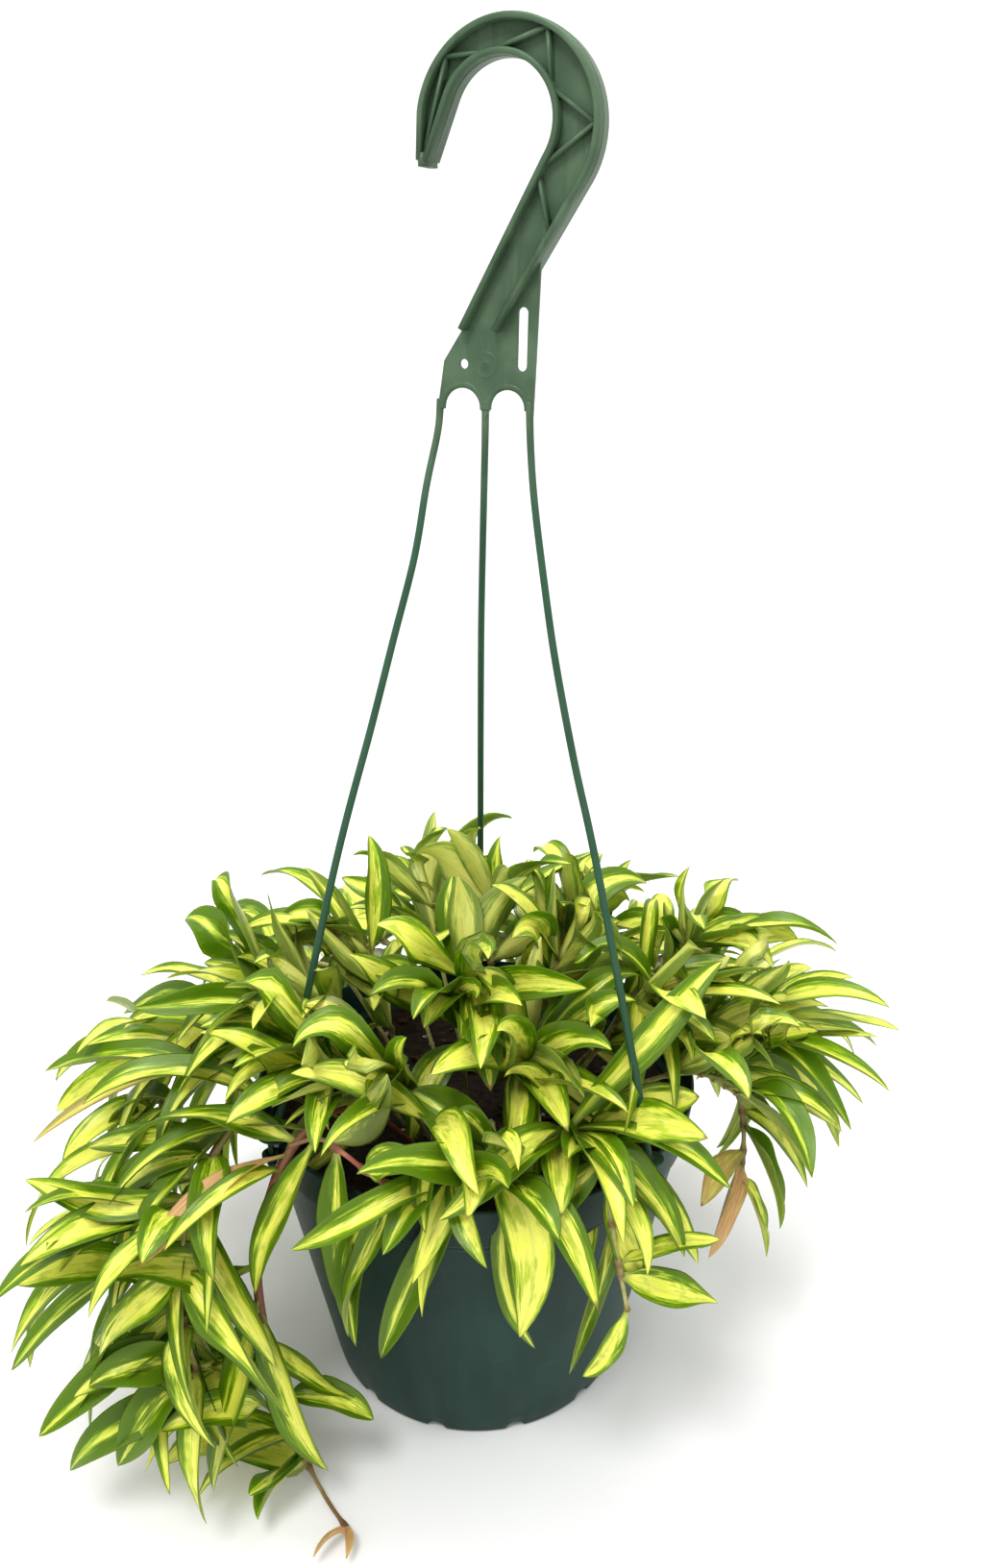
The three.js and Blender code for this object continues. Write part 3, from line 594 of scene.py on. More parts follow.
def heading_at(route, place):
    """The unit direction of the stem's curve at a place."""
    a, b = spline(route, [max(place - 1e-4, 0), min(place + 1e-4, 1)])
    return (b - a) / np.linalg.norm(b - a)


def free_tip(tip):
    """Keeps a leaf tip above the surface and outside the pot."""
    tip[2] = max(tip[2], 7)
    out = math.hypot(tip[0], tip[1])
    if tip[2] < 160 and out < 110:
        tip[:2] *= 110 / out
    return tip


def paired_leaves(route, first, last, count, length, draw):
    """Opposite pairs up a stem: each pair stands crosswise to the last, leans along the stem,
    lifts towards the light and sinks again under its own weight."""
    leaves = []
    for i in range(count):
        place = first + (last - first) * i / max(count - 1, 1)
        base, along = spline(route, [place])[0], heading_at(route, place)
        side = np.array([along[1], -along[0], 0.001])
        side /= np.linalg.norm(side)
        over = np.cross(side, along)
        turn = (i % 2) * 1.2 + (next(draw) - 0.5) * 0.9
        for sign in (1, -1):
            foot = base + along * 0.4 * sign
            reach = length * (0.8 + 0.35 * next(draw))
            way = side * sign * math.cos(turn)
            way = way + over * (sign * math.sin(turn) * 0.8 + 0.25)
            way = way + along * (0.75 + 0.5 * next(draw)) + UP * (0.15 - 0.35 * next(draw))
            tip = foot + way / np.linalg.norm(way) * reach
            tip[2] -= 0.1 * reach
            rise = reach * (0.08 + 0.12 * next(draw))
            width = 11 + 6 * next(draw)
            leaves.append([foot, free_tip(tip), rise, width, (next(draw) - 0.5) * 70, 0])
    return leaves


AROUND, ALONG = 16, 18
SECTION = np.arange(AROUND) * 2 * np.pi / AROUND
STATION = 1 - (1 - np.linspace(0, 1, ALONG)) ** 1.15


def blade(base, tip, rise, width, roll, look):
    """One leaf as rings of points (along, around): the midrib is the arc
    (1-s)^2 base + 2s(1-s) middle + s^2 tip; the half width grows as s^0.62 (1-s)^0.8; the section
    is a thin ellipse bent up towards the margins by fold |u|^1.3, with a slow wave along them."""
    s = STATION[:, None]
    middle = (base + tip) / 2 + UP * 2 * rise
    path = (1 - s) ** 2 * base + 2 * s * (1 - s) * middle + s**2 * tip
    along = 2 * (1 - s) * (middle - base) + 2 * s * (tip - middle)
    length = np.linalg.norm(tip - base)
    along /= np.linalg.norm(along, axis=1, keepdims=True)
    out = np.array([base[0] + tip[0], base[1] + tip[1], 0])
    out /= np.linalg.norm(out) + 1e-9
    steep = np.abs(along[:, 2:])
    face = UP * (1.05 - steep) + out * steep
    face -= along * (face * along).sum(1, keepdims=True)
    face /= np.linalg.norm(face, axis=1, keepdims=True)
    turn = np.radians(roll) + look["twist"] * (s - 0.3)
    across = np.cross(along, face)
    face, across = (face * np.cos(turn) + np.cross(along, face) * np.sin(turn),
                    across * np.cos(turn) + np.cross(along, across) * np.sin(turn))
    x = np.clip((s - 0.04) / 0.96, 0, 1)
    half = width / 2 * 2.6 * x**0.62 * (1 - x) ** 0.8
    half = np.maximum(half, 1.0 * np.clip(1 - s / 0.14, 0, 1) + 0.12)
    thick = 0.45 + 0.65 * np.exp(-s * 16) - 0.33 * s**6
    path = path + across * look["sway"] * length * np.sin(np.pi * s) * 0.5
    path = path - face * look["curl"] * length * np.clip((s - 0.62) / 0.38, 0, 1) ** 2
    u, up = np.cos(SECTION)[None, :], np.sin(SECTION)[None, :]
    wave = 0.1 * np.abs(u) ** 2 * np.sin(s * look["waves"] + look["phase"] + 2.2 * u)
    lift = half * (look["fold"] * np.abs(u) ** 1.3 + wave)
    groove = -0.35 * np.exp(-((u / 0.12) ** 2)) * np.clip(half / 6, 0, 1)
    high = lift + up * thick + groove * np.sign(up)
    sideways = across[:, None] * (half * u)[..., None]
    return path[:, None] + sideways + face[:, None] * high[..., None]


def tubes_mesh(name, rings, marks, uv=False):
    """Closed tubes in one mesh: each is an array of rings (n, m, 3) whose ends close in a point
    at the ring's middle. marks holds, for each attribute, one array (n, m, 3) a tube. With uv,
    each tube gets its own cell of a square sheet."""
    co, quads, tris, cells, flat = [], [], [], [], {key: [] for key in marks}
    start, n_tubes = 0, len(rings)
    columns = max(1, math.ceil(math.sqrt(n_tubes * 2)))
    rows = math.ceil(n_tubes / columns)
    for k, ring in enumerate(rings):
        n, m = ring.shape[:2]
        i, j = np.meshgrid(np.arange(n - 1), np.arange(m), indexing="ij")
        j2, one = (j + 1) % m, np.arange(m)
        quad = np.stack([i * m + j, i * m + j2, (i + 1) * m + j2, (i + 1) * m + j], -1)
        foot = np.stack([(one + 1) % m, one, np.full(m, n * m)], -1)
        head = np.stack([one, (one + 1) % m, np.full(m, m + 1)], -1) + (n - 1) * m
        quads.append(quad.reshape(-1, 4) + start)
        tris.append(np.concatenate([foot, head]) + start)
        co.append(np.concatenate([ring.reshape(-1, 3), ring[:1].mean(1), ring[-1:].mean(1)]))
        for key, values in marks.items():
            v = values[k]
            flat[key].append(np.concatenate([v.reshape(-1, 3), v[:1].mean(1), v[-1:].mean(1)]))
        if uv:
            square = ((0, 0), (1, 0), (1, 1), (0, 1))
            quad_uv = np.stack([np.stack([j + a, i + b], -1) for a, b in square], -2)
            low = [[one + 1, 0 * one], [one, 0 * one], [one + 0.5, 0 * one - 0.6]]
            high = [[one, 0 * one + n - 1], [one + 1, 0 * one + n - 1],
                    [one + 0.5, 0 * one + n - 0.4]]
            tri_uv = np.concatenate([np.moveaxis(np.array(t, float), 2, 0) for t in (low, high)])
            corner = np.array([k % columns, k // columns])
            fits = [(part - [0, -0.7]) / [m, n + 0.4] for part in (quad_uv.reshape(-1, 4, 2), tri_uv)]
            cells.append([(corner + 0.03 + 0.94 * fit) / [columns, rows] for fit in fits])
        start += n * m + 2
    co, quads, tris = (np.concatenate(parts) for parts in (co, quads, tris))
    mesh = bpy.data.meshes.new(name)
    mesh.vertices.add(len(co))
    mesh.vertices.foreach_set("co", (co * MM).reshape(-1).astype(np.float32))
    loops = np.concatenate([quads.reshape(-1), tris.reshape(-1)])
    starts = np.concatenate([np.arange(len(quads)) * 4, quads.size + np.arange(len(tris)) * 3])
    mesh.loops.add(len(loops))
    mesh.loops.foreach_set("vertex_index", loops.astype(np.int32))
    mesh.polygons.add(len(starts))
    mesh.polygons.foreach_set("loop_start", starts.astype(np.int32))
    mesh.polygons.foreach_set("use_smooth", np.ones(len(starts), bool))
    mesh.update(calc_edges=True)
    for key, parts in flat.items():
        layer = mesh.attributes.new(key, "FLOAT_VECTOR", "POINT")
        layer.data.foreach_set("vector", np.concatenate(parts).reshape(-1).astype(np.float32))
    if uv:
        sheet = mesh.uv_layers.new(name="OFBake")
        both = [np.concatenate([c[k].reshape(-1, 2) for c in cells]) for k in (0, 1)]
        sheet.uv.foreach_set("vector", np.concatenate(both).reshape(-1).astype(np.float32))
    return mesh


def leaf_finish():
    """Waxy variegated leaf. Across the blade: cream, then lime in long flames, then green, then a
    fine dark rim; paler and greyer underneath; tan where the leaf is old."""
    material, tree, shader = surface(
        "foliage", Specular_IOR_Level=0.35, Coat_Weight=0.08, Coat_Roughness=0.25,
        Subsurface_Weight=0.18, Subsurface_Scale=0.004, Subsurface_Radius=(0.5, 1.0, 0.15),
    )
    where = make(tree, "ShaderNodeAttribute", {"attribute_name": "blade"})[1]
    kind = make(tree, "ShaderNodeAttribute", {"attribute_name": "leaf"})[1]
    u, s, side = make(tree, "ShaderNodeSeparateXYZ", {}, [where])
    cream, age, seed = make(tree, "ShaderNodeSeparateXYZ", {}, [kind])
    long = [u * 2.4 + seed * 17, s * 1.5 + seed * 5, seed * 31]
    streak = noise(tree, make(tree, "ShaderNodeCombineXYZ", {}, long)[0], 2.2, 4.0, 0.6)
    thin = [u * 9 + seed * 7, s * 2.6, seed * 13 + side]
    fine = noise(tree, make(tree, "ShaderNodeCombineXYZ", {}, thin)[0], 2.0, 3.0, 0.6)
    round_ = [u * 1.6 + seed * 3, s * 4.2 + seed * 9, seed * 23]
    blotch = noise(tree, make(tree, "ShaderNodeCombineXYZ", {}, round_)[0], 1.3, 3.0, 0.55)
    edge = u.math("ABSOLUTE") + (streak - 0.5) * 1.5 + (fine - 0.5) * 0.4
    lime_at = edge.math("SUBTRACT", cream)
    to_lime = lime_at.step(-0.22, 0.1)
    to_green = lime_at.step(-0.08, 0.3) * 0.92
    flame = (blotch * 0.7 + fine * 0.3).step(0.48, 0.62) * 0.8
    base = mix(tree, blotch.step(0.35, 0.65), (0.70, 0.74, 0.10), (0.80, 0.79, 0.20))
    base = mix(tree, flame, base, (0.33, 0.44, 0.006))
    base = mix(tree, to_lime, base, (0.235, 0.36, 0.005))
    base = mix(tree, to_green, base, (0.072, 0.135, 0.003))
    rim = u.math("ABSOLUTE").step(0.93, 0.985)
    base = mix(tree, rim * 0.75, base, (0.030, 0.062, 0.003))
    rib = 1 - u.math("ABSOLUTE").step(0.015, 0.07)
    base = mix(tree, rib * 0.3, base, (0.50, 0.63, 0.12))
    under = mix(tree, to_green * 0.8, (0.46, 0.48, 0.155), (0.13, 0.175, 0.03))
    base = mix(tree, (1 - side.step(-0.12, 0.12)) * 0.62, base, under)
    old = mix(tree, fine.step(0.4, 0.6), (0.42, 0.235, 0.10), (0.56, 0.36, 0.17))
    base = mix(tree, (age * 1.6 + (streak - 0.5) * 1.2 - 0.3).step(0.2, 0.8), base, old)
    tip_dry = (s - 1.04 + seed.math("FRACT") * 0.09).step(0.0, 0.03) * 0.8
    base = mix(tree, tip_dry, base, (0.16, 0.09, 0.03))
    petiole = 1 - s.step(0.03, 0.12)
    base = mix(tree, petiole * 0.8, base, (0.30, 0.34, 0.09))
    tree.links.new(base.out, shader.inputs["Base Color"])
    tree.links.new((fine * 0.16 + blotch * 0.1 + 0.26).out, shader.inputs["Roughness"])
    veins = (u.math("ABSOLUTE") * 11 + s * 26).math("SINE") * 0.08
    height = streak * 0.7 + fine * 0.35 + veins - rib * 0.5
    bump(tree, shader, height, 0.3, 0.0008)
    return material


def stem_finish():
    """Young bark: tan-green and smooth, brown at the nodes, pink-red along the trailing shoot."""
    material, tree, shader = surface("vine_stem", Specular_IOR_Level=0.35)
    where = make(tree, "ShaderNodeAttribute", {"attribute_name": "stem"})[1]
    place = make(tree, "ShaderNodeTexCoord")[3]
    pink, node, brown = make(tree, "ShaderNodeSeparateXYZ", {}, [where])
    cloud = noise(tree, place, 240.0, 4.0, 0.6)
    fine = noise(tree, place, 1400.0, 2.0)
    base = mix(tree, cloud.step(0.35, 0.65), (0.30, 0.29, 0.10), (0.42, 0.38, 0.16))
    base = mix(tree, (pink + (cloud - 0.5) * 0.5).step(0.3, 0.7), base, (0.36, 0.115, 0.09))
    base = mix(tree, (brown + (cloud - 0.5) * 0.5).step(0.3, 0.7), base, (0.20, 0.115, 0.05))
    base = mix(tree, node * 0.8, base, (0.15, 0.075, 0.035))
    tree.links.new(base.out, shader.inputs["Base Color"])
    tree.links.new((cloud * 0.2 + 0.42).out, shader.inputs["Roughness"])
    bump(tree, shader, cloud + fine * 0.5, 0.5, 0.0007)
    return material


leaf_material = leaf_finish()
stem_material = stem_finish()

VINES = [
    # Over the front of the rim
    ("vine_front_1", [[-15, -45, 132], [-18, -62, 166], [-13, -84, 176], [-5, -99, 162]],
     [[1, -40, -108, 78, 3, 13, -10], [0.7, -20, -122, 160, 6, 11, 20]],
     None),
    ("vine_front_2", [[10, -40, 132], [8, -60, 164], [9, -84, 170], [12, -102, 158]],
     [[1, 24, -107, 80, 3, 9, 50], [0.75, -8, -88, 190, 5, 12, -30]],
     None),
    ("vine_front_3", [[-20, -30, 132], [-29, -45, 164], [-30, -63, 184]],
     [[1, 28, -104, 153, 2, 20, 10], [0.95, -40, -90, 190, 9, 15, 30],
      [0.8, -70, -56, 224, 8, 14, 0]],
     None),
    ("vine_front_4", [[30, -35, 132], [38, -55, 156], [38, -77, 173]],
     [[1, 0, -105, 158, 4, 17, 20], [0.97, 103, -45, 236, 7, 15, -20],
      [0.6, 14, -70, 198, 6, 10, 20]],
     None),
    ("vine_front_5", [[45, -35, 132], [54, -60, 160], [53, -88, 164], [55, -103, 148],
      [59, -107, 126], [62, -109, 110]],
     [[0.35, 14, -112, 147, -5, 14, 0], [0.6, 38, -112, 80, 4, 15, -30],
      [0.45, 70, -106, 116, 3, 15, 0], [0.8, 99, -106, 112, -3, 15, 0],
      [1, 45, -110, 76, -4, 10, 20], [0.75, 102, -92, 131, 4, 8, 0]],
     None),
    ("vine_front_6", [[-5, -62, 132], [-11, -88, 156], [-22, -102, 160], [-38, -98, 166],
      [-52, -89, 171], [-62, -84, 174], [-74, -86, 172]],
     [[0.42, -56, -115, 105, 3, 12, 20], [0.46, -48, -112, 93, 3, 13, -20],
      [0.55, -18, -108, 176, 4, 14, 10], [0.85, -90, -112, 122, -4, 14, 10],
      [0.7, -52, -110, 104, 3, 14, 0], [0.74, -33, -86, 206, 0, 19, 160]],
     None),
    # The long trailer that reaches the surface at the front left
    ("vine_trailing", [[-25, -35, 132], [-48, -55, 168], [-68, -76, 172], [-84, -90, 148],
      [-88, -99, 115], [-85, -101, 80], [-80, -97, 45], [-76, -94, 16], [-74, -93, 6],
      [-64, -108, 3.5], [-53, -123, 3.5]],
     [[0.2, -150, -96, 152, 10, 13, 10], [0.22, -146, -72, 166, 12, 14, 0],
      [0.24, -132, -116, 138, 9, 13, 20], [0.26, -118, -122, 152, 9, 12, 0],
      [0.38, -158, -112, 66, 8, 14, 10], [0.42, -112, -122, 24, 5, 16, 10],
      [0.44, -64, -120, 28, 3, 16, -10], [0.48, -52, -98, 46, 3, 14, 0],
      [0.52, -140, -118, 34, 6, 14, -10], [0.58, -42, -100, 42, 3, 13, 0],
      [0.8, -142, -90, 7, 5, 24, 0], [0.66, -120, -112, 12, 5, 13, 15],
      [1, -66, -138, 5, 4, 5, 60], [0.99, -52, -141, 4, 2, 4, 0]],
     None),
    # Over the left of the rim
    ("vine_left_1", [[-40, -15, 132], [-72, -40, 172], [-104, -62, 160], [-124, -76, 128],
      [-130, -84, 92], [-128, -86, 60], [-122, -88, 35]],
     [[0.25, -165, -62, 176, 12, 15, 0], [0.3, -142, -106, 138, 5, 14, 20]],
     [0.35, 0.72, 6, 72]),
    ("vine_left_2", [[-45, 0, 132], [-80, -15, 178], [-118, -28, 168], [-146, -40, 136],
      [-156, -48, 100], [-156, -52, 72]],
     [[0.35, -188, -60, 154, 10, 13, 0], [0.7, -200, -58, 66, 6, 12, 10]],
     [0.3, 0.97, 8, 72]),
    ("vine_left_3", [[-45, 15, 132], [-82, 15, 180], [-118, 14, 172], [-145, 8, 145],
      [-155, 2, 115]],
     [],
     [0.3, 1, 7, 72]),
    ("vine_left_4", [[-35, -5, 132], [-60, -10, 180], [-86, -18, 194]],
     [[0.9, -138, -12, 206, 9, 14, 0], [0.7, -122, 6, 222, 6, 13, 0]],
     [0.5, 1, 4, 66]),
    ("vine_left_5", [[-32, -20, 132], [-50, -35, 172], [-62, -56, 186]],
     [[1, -110, -68, 214, 6, 15, 10], [0.95, -58, -86, 180, 8, 13, 0],
      [0.9, -100, -82, 192, 9, 13, 0]],
     [0.6, 0.9, 2, 62]),
    ("vine_left_6", [[-55, -20, 132], [-88, -52, 172], [-112, -84, 152], [-118, -104, 118],
      [-114, -110, 80], [-106, -108, 52]],
     [],
     [0.35, 0.8, 5, 62]),
    # The crown
    ("vine_crown_1", [[-30, 0, 132], [-42, 5, 178], [-50, 10, 212]],
     [[0.92, -48, 34, 256, 2, 17, 165], [0.8, -76, 18, 248, 3, 12, 150],
      [0.98, -108, 2, 226, 8, 13, 0], [0.7, -98, 18, 206, 8, 13, 0]],
     [0.4, 0.55, 2, 56]),
    ("vine_crown_2", [[-5, -5, 132], [-5, -10, 178], [-3, -18, 210]],
     [[1, -6, -4, 254, 0, 18, 175], [0.95, 22, 6, 248, 2, 16, 160],
      [0.985, -42, -24, 240, 6, 14, 0], [0.97, 7, -74, 190, 9, 18, 0]],
     [0.5, 0.85, 2, 60]),
    ("vine_crown_3", [[5, 20, 132], [7, 30, 186], [8, 38, 216]],
     [[1, -14, 36, 258, 4, 10, 0], [0.97, 10, 46, 250, 0, 10, 170]],
     [0.55, 1, 3, 52]),
    ("vine_crown_4", [[20, 0, 132], [30, 6, 178], [38, 8, 204]],
     [[1, 36, 20, 246, 0, 13, 160]],
     [0.5, 1, 4, 58]),
    ("vine_crown_5", [[15, -15, 132], [18, -30, 168], [22, -46, 186]],
     [[0.9, 70, -30, 224, 7, 15, -10], [0.7, 30, -10, 226, 2, 13, 160]],
     [0.5, 1, 3, 56]),
    ("vine_crown_6", [[35, -10, 132], [58, -18, 178], [78, -22, 208]],
     [[1, 42, -34, 226, 12, 10, 0], [0.92, 62, -86, 178, 8, 15, -20],
      [0.85, 84, -70, 176, 9, 13, 10], [0.7, 112, -22, 222, 3, 17, 150]],
     [0.45, 0.84, 3, 58]),
    ("vine_crown_7", [[40, 15, 132], [75, 6, 182], [98, 2, 214]],
     [[1, 92, 6, 252, 0, 12, 170], [0.985, 110, 10, 246, 0, 15, 150],
      [0.97, 84, 0, 238, 2, 13, 190]],
     [0.5, 0.95, 3, 60]),
    # Over the right of the rim
    ("vine_right_1", [[40, -5, 132], [75, -8, 166], [104, -12, 180], [126, -16, 176]],
     [[0.8, 190, -2, 172, 5, 14, 0], [1, 176, -28, 152, 4, 18, 0], [0.7, 160, 18, 198, 6, 10, 0],
      [0.75, 182, -14, 176, 4, 12, 10]],
     [0.45, 0.95, 4, 66]),
    ("vine_right_2", [[42, -22, 132], [72, -38, 168], [96, -44, 178], [112, -50, 172]],
     [[0.8, 162, -48, 152, 6, 15, 0], [1, 150, -72, 172, 5, 13, 0], [0.7, 150, -30, 190, 6, 13, 0]],
     [0.5, 0.9, 3, 62]),
    ("vine_right_3", [[45, 5, 132], [82, -8, 164], [106, -16, 168], [119, -26, 152],
      [121, -34, 130], [117, -40, 108]],
     [[0.85, 104, -60, 92, 3, 16, 0], [0.7, 138, -54, 104, 5, 13, 0],
      [0.65, 150, -42, 116, 7, 10, 20], [0.9, 132, -54, 88, 3, 11, 0],
      [0.8, 98, -66, 126, 3, 10, 0]],
     None),
    ("vine_right_4", [[38, -30, 132], [44, -52, 150], [48, -66, 160]],
     [[1, 95, -60, 178, 3, 17, 20], [0.9, 88, -72, 166, 4, 12, 0], [0.7, 60, -70, 182, 4, 10, 0]],
     None),
    ("vine_right_5", [[45, 20, 132], [85, 28, 172], [120, 38, 170], [140, 44, 150], [146, 46, 120]],
     [],
     [0.4, 1, 6, 68]),
    # The back
    ("vine_back_1", [[20, 40, 132], [30, 75, 172], [40, 108, 168], [46, 128, 140], [48, 134, 105]],
     [],
     [0.35, 1, 6, 68]),
    ("vine_back_2", [[0, 40, 132], [-8, 78, 174], [-14, 112, 166], [-16, 130, 135],
      [-14, 134, 100], [-12, 130, 66]],
     [],
     [0.3, 1, 8, 66]),
    ("vine_back_3", [[-20, 35, 132], [-40, 70, 172], [-62, 100, 164], [-74, 118, 135],
      [-78, 122, 100]],
     [],
     [0.35, 1, 6, 68]),
    ("vine_back_4", [[-35, 25, 132], [-70, 48, 176], [-102, 66, 162], [-118, 78, 130],
      [-122, 82, 95]],
     [],
     [0.35, 1, 6, 68]),
    ("vine_back_5", [[35, 35, 132], [68, 62, 172], [96, 84, 162], [108, 96, 132], [110, 98, 100]],
     [],
     [0.36, 0.97, 6, 66]),
    ("vine_back_6", [[-5, 28, 132], [-18, 48, 180], [-22, 60, 204]],
     [],
     [0.5, 1, 3, 62]),
    ("vine_back_7", [[25, 25, 132], [40, 42, 176], [48, 52, 196]],
     [],
     [0.45, 1, 5, 56]),
]

# What is unlike the rest of the vine: (vine, leaf number) to how old the leaf is, from 0 to 1.
OLD_LEAVES = {("vine_trailing", 2): 1.0, ("vine_trailing", 12): 1.3, ("vine_trailing", 13): 1.3,
              ("vine_right_3", 0): 1.0, ("vine_right_3", 4): 0.55,
              ("vine_left_2", 0): 0.5, ("vine_front_3", 2): 0.4, ("vine_right_4", 1): 0.6,
              ("vine_left_1", 5): 0.5, ("vine_crown_1", 1): 0.35}
GREEN_LEAVES = {("vine_front_3", 0), ("vine_front_4", 0), ("vine_crown_5", 0), ("vine_front_6", 5)}


def vine_leaves(number, name, route, placed, pairs):
    """Every leaf of a vine: base, tip, rise, width, roll and age."""
    leaves = [
        [spline(route, [place])[0], np.array([x, y, z], float), rise, width, roll,
         OLD_LEAVES.get((name, k), 0)]
        for k, (place, x, y, z, rise, width, roll) in enumerate(placed)
    ]
    if pairs:
        leaves += paired_leaves(route, *pairs, random_from(1000 + number))
    for leaf in leaves:
        leaf[1][:] = np.maximum(leaf[1], [-206, -138, 8])
    return leaves


# How many leaves more fill the crown, beyond those that the list gives.
FILLERS = {"vine_crown_1": 7, "vine_crown_2": 11, "vine_crown_3": 7, "vine_crown_4": 9,
           "vine_crown_5": 12, "vine_crown_6": 9, "vine_crown_7": 7, "vine_front_1": 7,
           "vine_front_2": 7, "vine_front_3": 9, "vine_front_4": 9, "vine_left_4": 6,
           "vine_left_5": 9, "vine_left_1": 6, "vine_left_2": 5, "vine_left_3": 4, "vine_left_6": 7,
           "vine_trailing": 5, "vine_right_1": 4, "vine_right_2": 4, "vine_right_4": 3,
           "vine_back_1": 4, "vine_back_2": 4, "vine_back_3": 4, "vine_back_4": 4,
           "vine_back_5": 4, "vine_back_6": 9, "vine_back_7": 9}


def filler_leaves(route, count, rng):
    """Each leaves the stem at a random place and heads outwards from the pot's axis, within about
    60 degrees either way: up at 5 to 65 degrees from high bases, from 30 up to 50 down from low."""
    leaves = []
    for _ in range(count):
        base = spline(route, [rng.uniform(0.4, 1)])[0]
        turn = math.atan2(base[1], base[0]) + rng.normal() * 0.6
        climb = math.radians(rng.uniform(5, 65) if base[2] > 175 else rng.uniform(-50, 30))
        reach = rng.uniform(52, 82)
        way = [math.cos(climb) * math.cos(turn), math.cos(climb) * math.sin(turn), math.sin(climb)]
        tip = base + reach * np.array(way)
        tip[2] = min(tip[2], rng.uniform(205, 240))
        tip = np.clip(tip, [-195, -128, 18], [188, 172, 240])
        leaves.append([base, tip, reach * rng.uniform(0.04, 0.15), rng.uniform(12, 17),
                       rng.normal() * 25, 0])
    return leaves


def random_look(rng):
    """How one leaf differs from the next: its fold, twist, sideways bend, tip curl and wave."""
    return {
        "fold": rng.uniform(0.25, 0.75), "twist": rng.normal() * 0.6,
        "sway": rng.normal() * 0.09, "curl": rng.uniform(-0.02, 0.12),
        "waves": rng.uniform(5, 13), "phase": rng.uniform(0, 6.28),
    }


def leaves_mesh(name, leaves, rng):
    """All the leaves of a vine in one mesh, marked for their finish: where on the blade each
    point is, and each leaf's share of cream, its age and a number of its own."""
    rings, blades, kinds = [], [], []
    for k, (base, tip, rise, width, roll, age) in enumerate(leaves):
        look = random_look(rng)
        ring = blade(base, tip, rise, width * rng.uniform(1.0, 1.25), roll, look)
        green = (name, k) in GREEN_LEAVES or rng.uniform() < 0.1
        cream = rng.uniform(0.08, 0.2) if green else rng.uniform(0.25, 0.8)
        s = np.broadcast_to(STATION[:, None], ring.shape[:2])
        u, side = (np.broadcast_to(f(SECTION), ring.shape[:2]) for f in (np.cos, np.sin))
        rings.append(ring)
        blades.append(np.stack([u, s, side], -1))
        kind = [cream, max(age, rng.uniform(0, 0.12)), rng.uniform(0, 9)]
        kinds.append(np.broadcast_to(kind, ring.shape))
    return tubes_mesh(name + "_leaves", rings, {"blade": blades, "leaf": kinds}, uv=True)


def stem_mesh(name, route, places):
    """A vine's stem: it tapers by t^3, swells at each place where leaves leave it, and on the two
    shoots at the front left turns from pink-red to brown."""
    t = np.linspace(0, 1, 90)
    at_node = sum((np.exp(-((t - p) / 0.02) ** 2) for p in places), 0 * t).clip(0, 1)
    line = spline(route, t)
    rings = [tube_rings(line, (STEM_R + 0.9 * at_node) * (1 - 0.25 * t**3), 12)]
    trailing = name in ("vine_trailing", "vine_front_6")
    pink = np.where(trailing, np.clip(1.3 - t, 0, 1), 0.1)
    brown = np.where(trailing, np.clip((t - 0.75) * 4, 0, 1), 0.25 * (1 - t))
    marks = [np.broadcast_to(np.stack([pink, at_node, brown], -1)[:, None], rings[0].shape)]
    return tubes_mesh(name + "_stem", rings, {"stem": marks})


for number, (name, route, placed, pairs) in enumerate(VINES):
    rng = np.random.default_rng(400 + number)
    leaves = vine_leaves(number, name, route, placed, pairs)
    leaves += filler_leaves(route, FILLERS.get(name, 0), rng)
    add_part(name + "_leaves", leaves_mesh(name, leaves, rng), leaf_material, name)
    places = [leaf[0] for leaf in placed] + (list(np.linspace(*pairs[:3])) if pairs else [])
    places = sorted({round(float(place), 3) for place in places})
    add_part(name + "_stem", stem_mesh(name, route, places), stem_material, name)

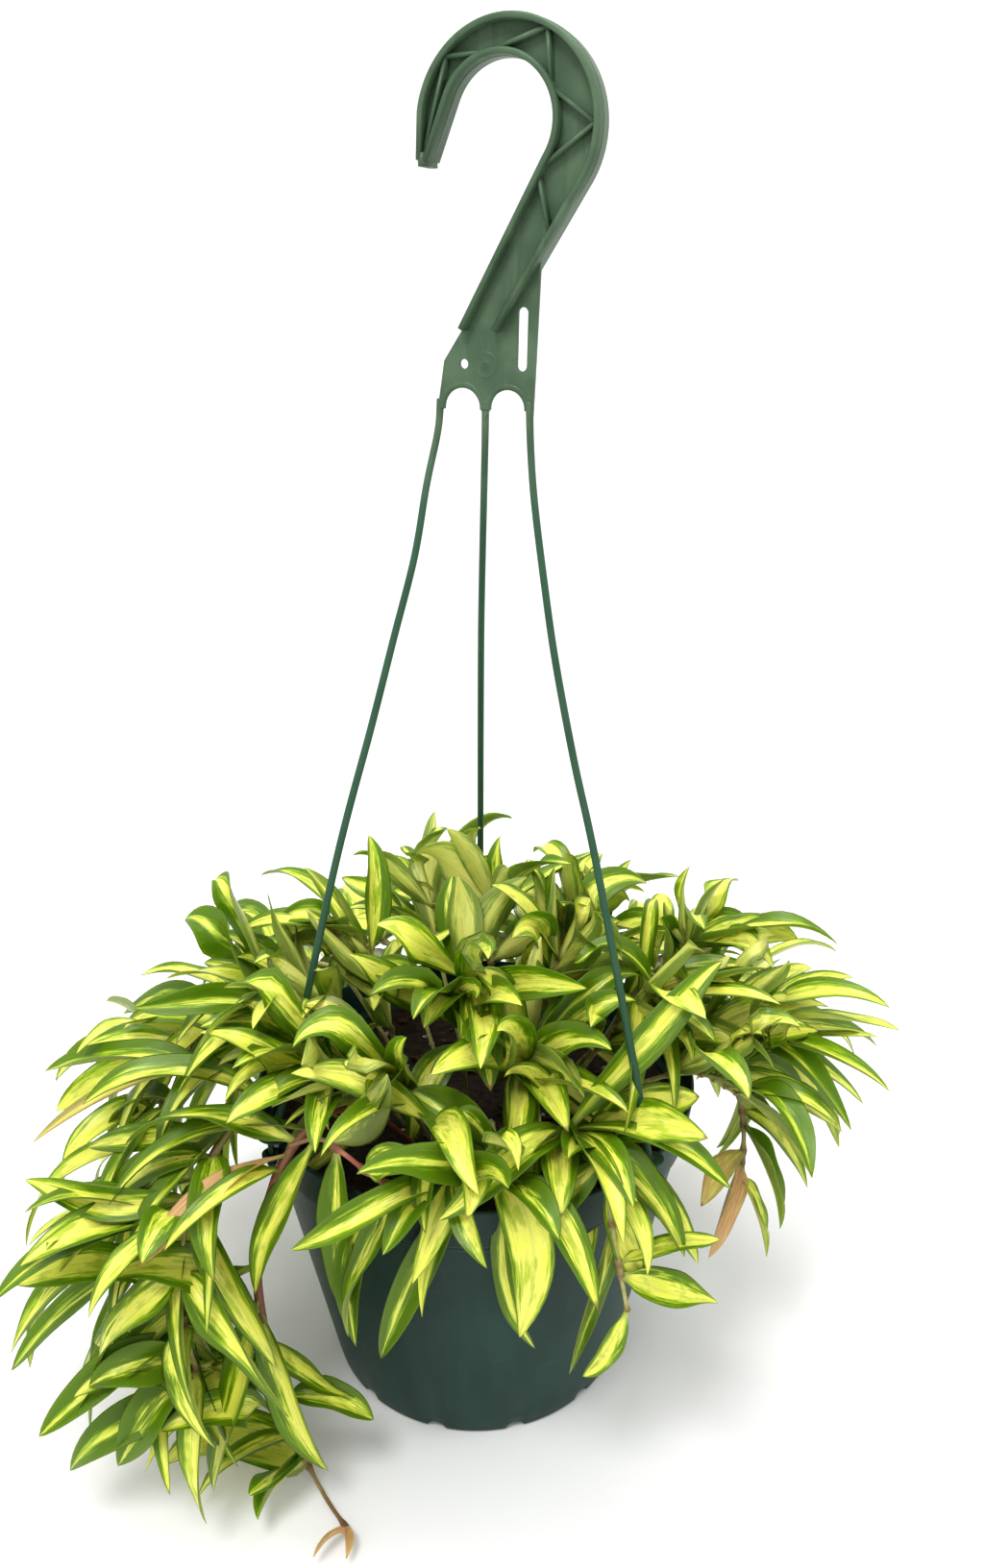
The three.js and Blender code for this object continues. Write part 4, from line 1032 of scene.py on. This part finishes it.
# ---- The setting ---------------------------------------------------------------------------------
# A white surface that fades into a white sky, with one soft light high in front and one above.
floor_material, floor_tree, floor_shader = surface("floor", Roughness=0.9)
floor_shader.inputs["Base Color"].default_value = (0.86, 0.86, 0.86, 1)
far = make(floor_tree, "ShaderNodeVectorMath", {"operation": "LENGTH"},
           [make(floor_tree, "ShaderNodeTexCoord")[3]])[0]
floor_tree.links.new((1 - far.step(0.45, 1.1)).out, floor_shader.inputs["Alpha"])
floor_mesh = bpy.data.meshes.new("floor")
floor_mesh.from_pydata([(-8, -8, 0), (8, -8, 0), (8, 8, 0), (-8, 8, 0)], [], [(0, 1, 2, 3)])
floor_mesh.materials.append(floor_material)
floor = bpy.data.objects.new("floor", floor_mesh)
bpy.context.scene.collection.objects.link(floor)

world = bpy.data.worlds.new("sky")
world.use_nodes = True
world.node_tree.nodes["Background"].inputs["Color"].default_value = (1, 1, 1, 1)
world.node_tree.nodes["Background"].inputs["Strength"].default_value = 1.0
bpy.context.scene.world = world


def lamp(name, place, target, size, power):
    """A square area light aimed at a point."""
    data = bpy.data.lights.new(name, "AREA")
    data.size, data.energy = size, power
    obj = bpy.data.objects.new(name, data)
    obj.location = place
    obj.rotation_euler = (Vector(target) - Vector(place)).to_track_quat("-Z", "Y").to_euler()
    bpy.context.scene.collection.objects.link(obj)


lamp("key", (-0.35, -0.9, 1.7), (0.03, 0, 0.15), 0.5, 14)
lamp("top", (0.2, 0.2, 1.9), (0, 0, 0.15), 0.6, 9)

CAMERA_PLACE = (0.00855, -0.5053, 0.4912)
CAMERA_DOWN = 0.3712
camera_data = bpy.data.cameras.new("camera")
camera_data.sensor_fit, camera_data.sensor_height = "VERTICAL", 36.0
camera_data.lens, camera_data.shift_x = 28.97, -0.0015
camera = bpy.data.objects.new("camera", camera_data)
camera.location = CAMERA_PLACE
camera.rotation_euler = (math.pi / 2 - CAMERA_DOWN, 0, 0)
scene = bpy.context.scene
scene.collection.objects.link(camera)
scene.camera = camera
scene.view_settings.view_transform = "Standard"
scene.view_settings.look = "Medium High Contrast"
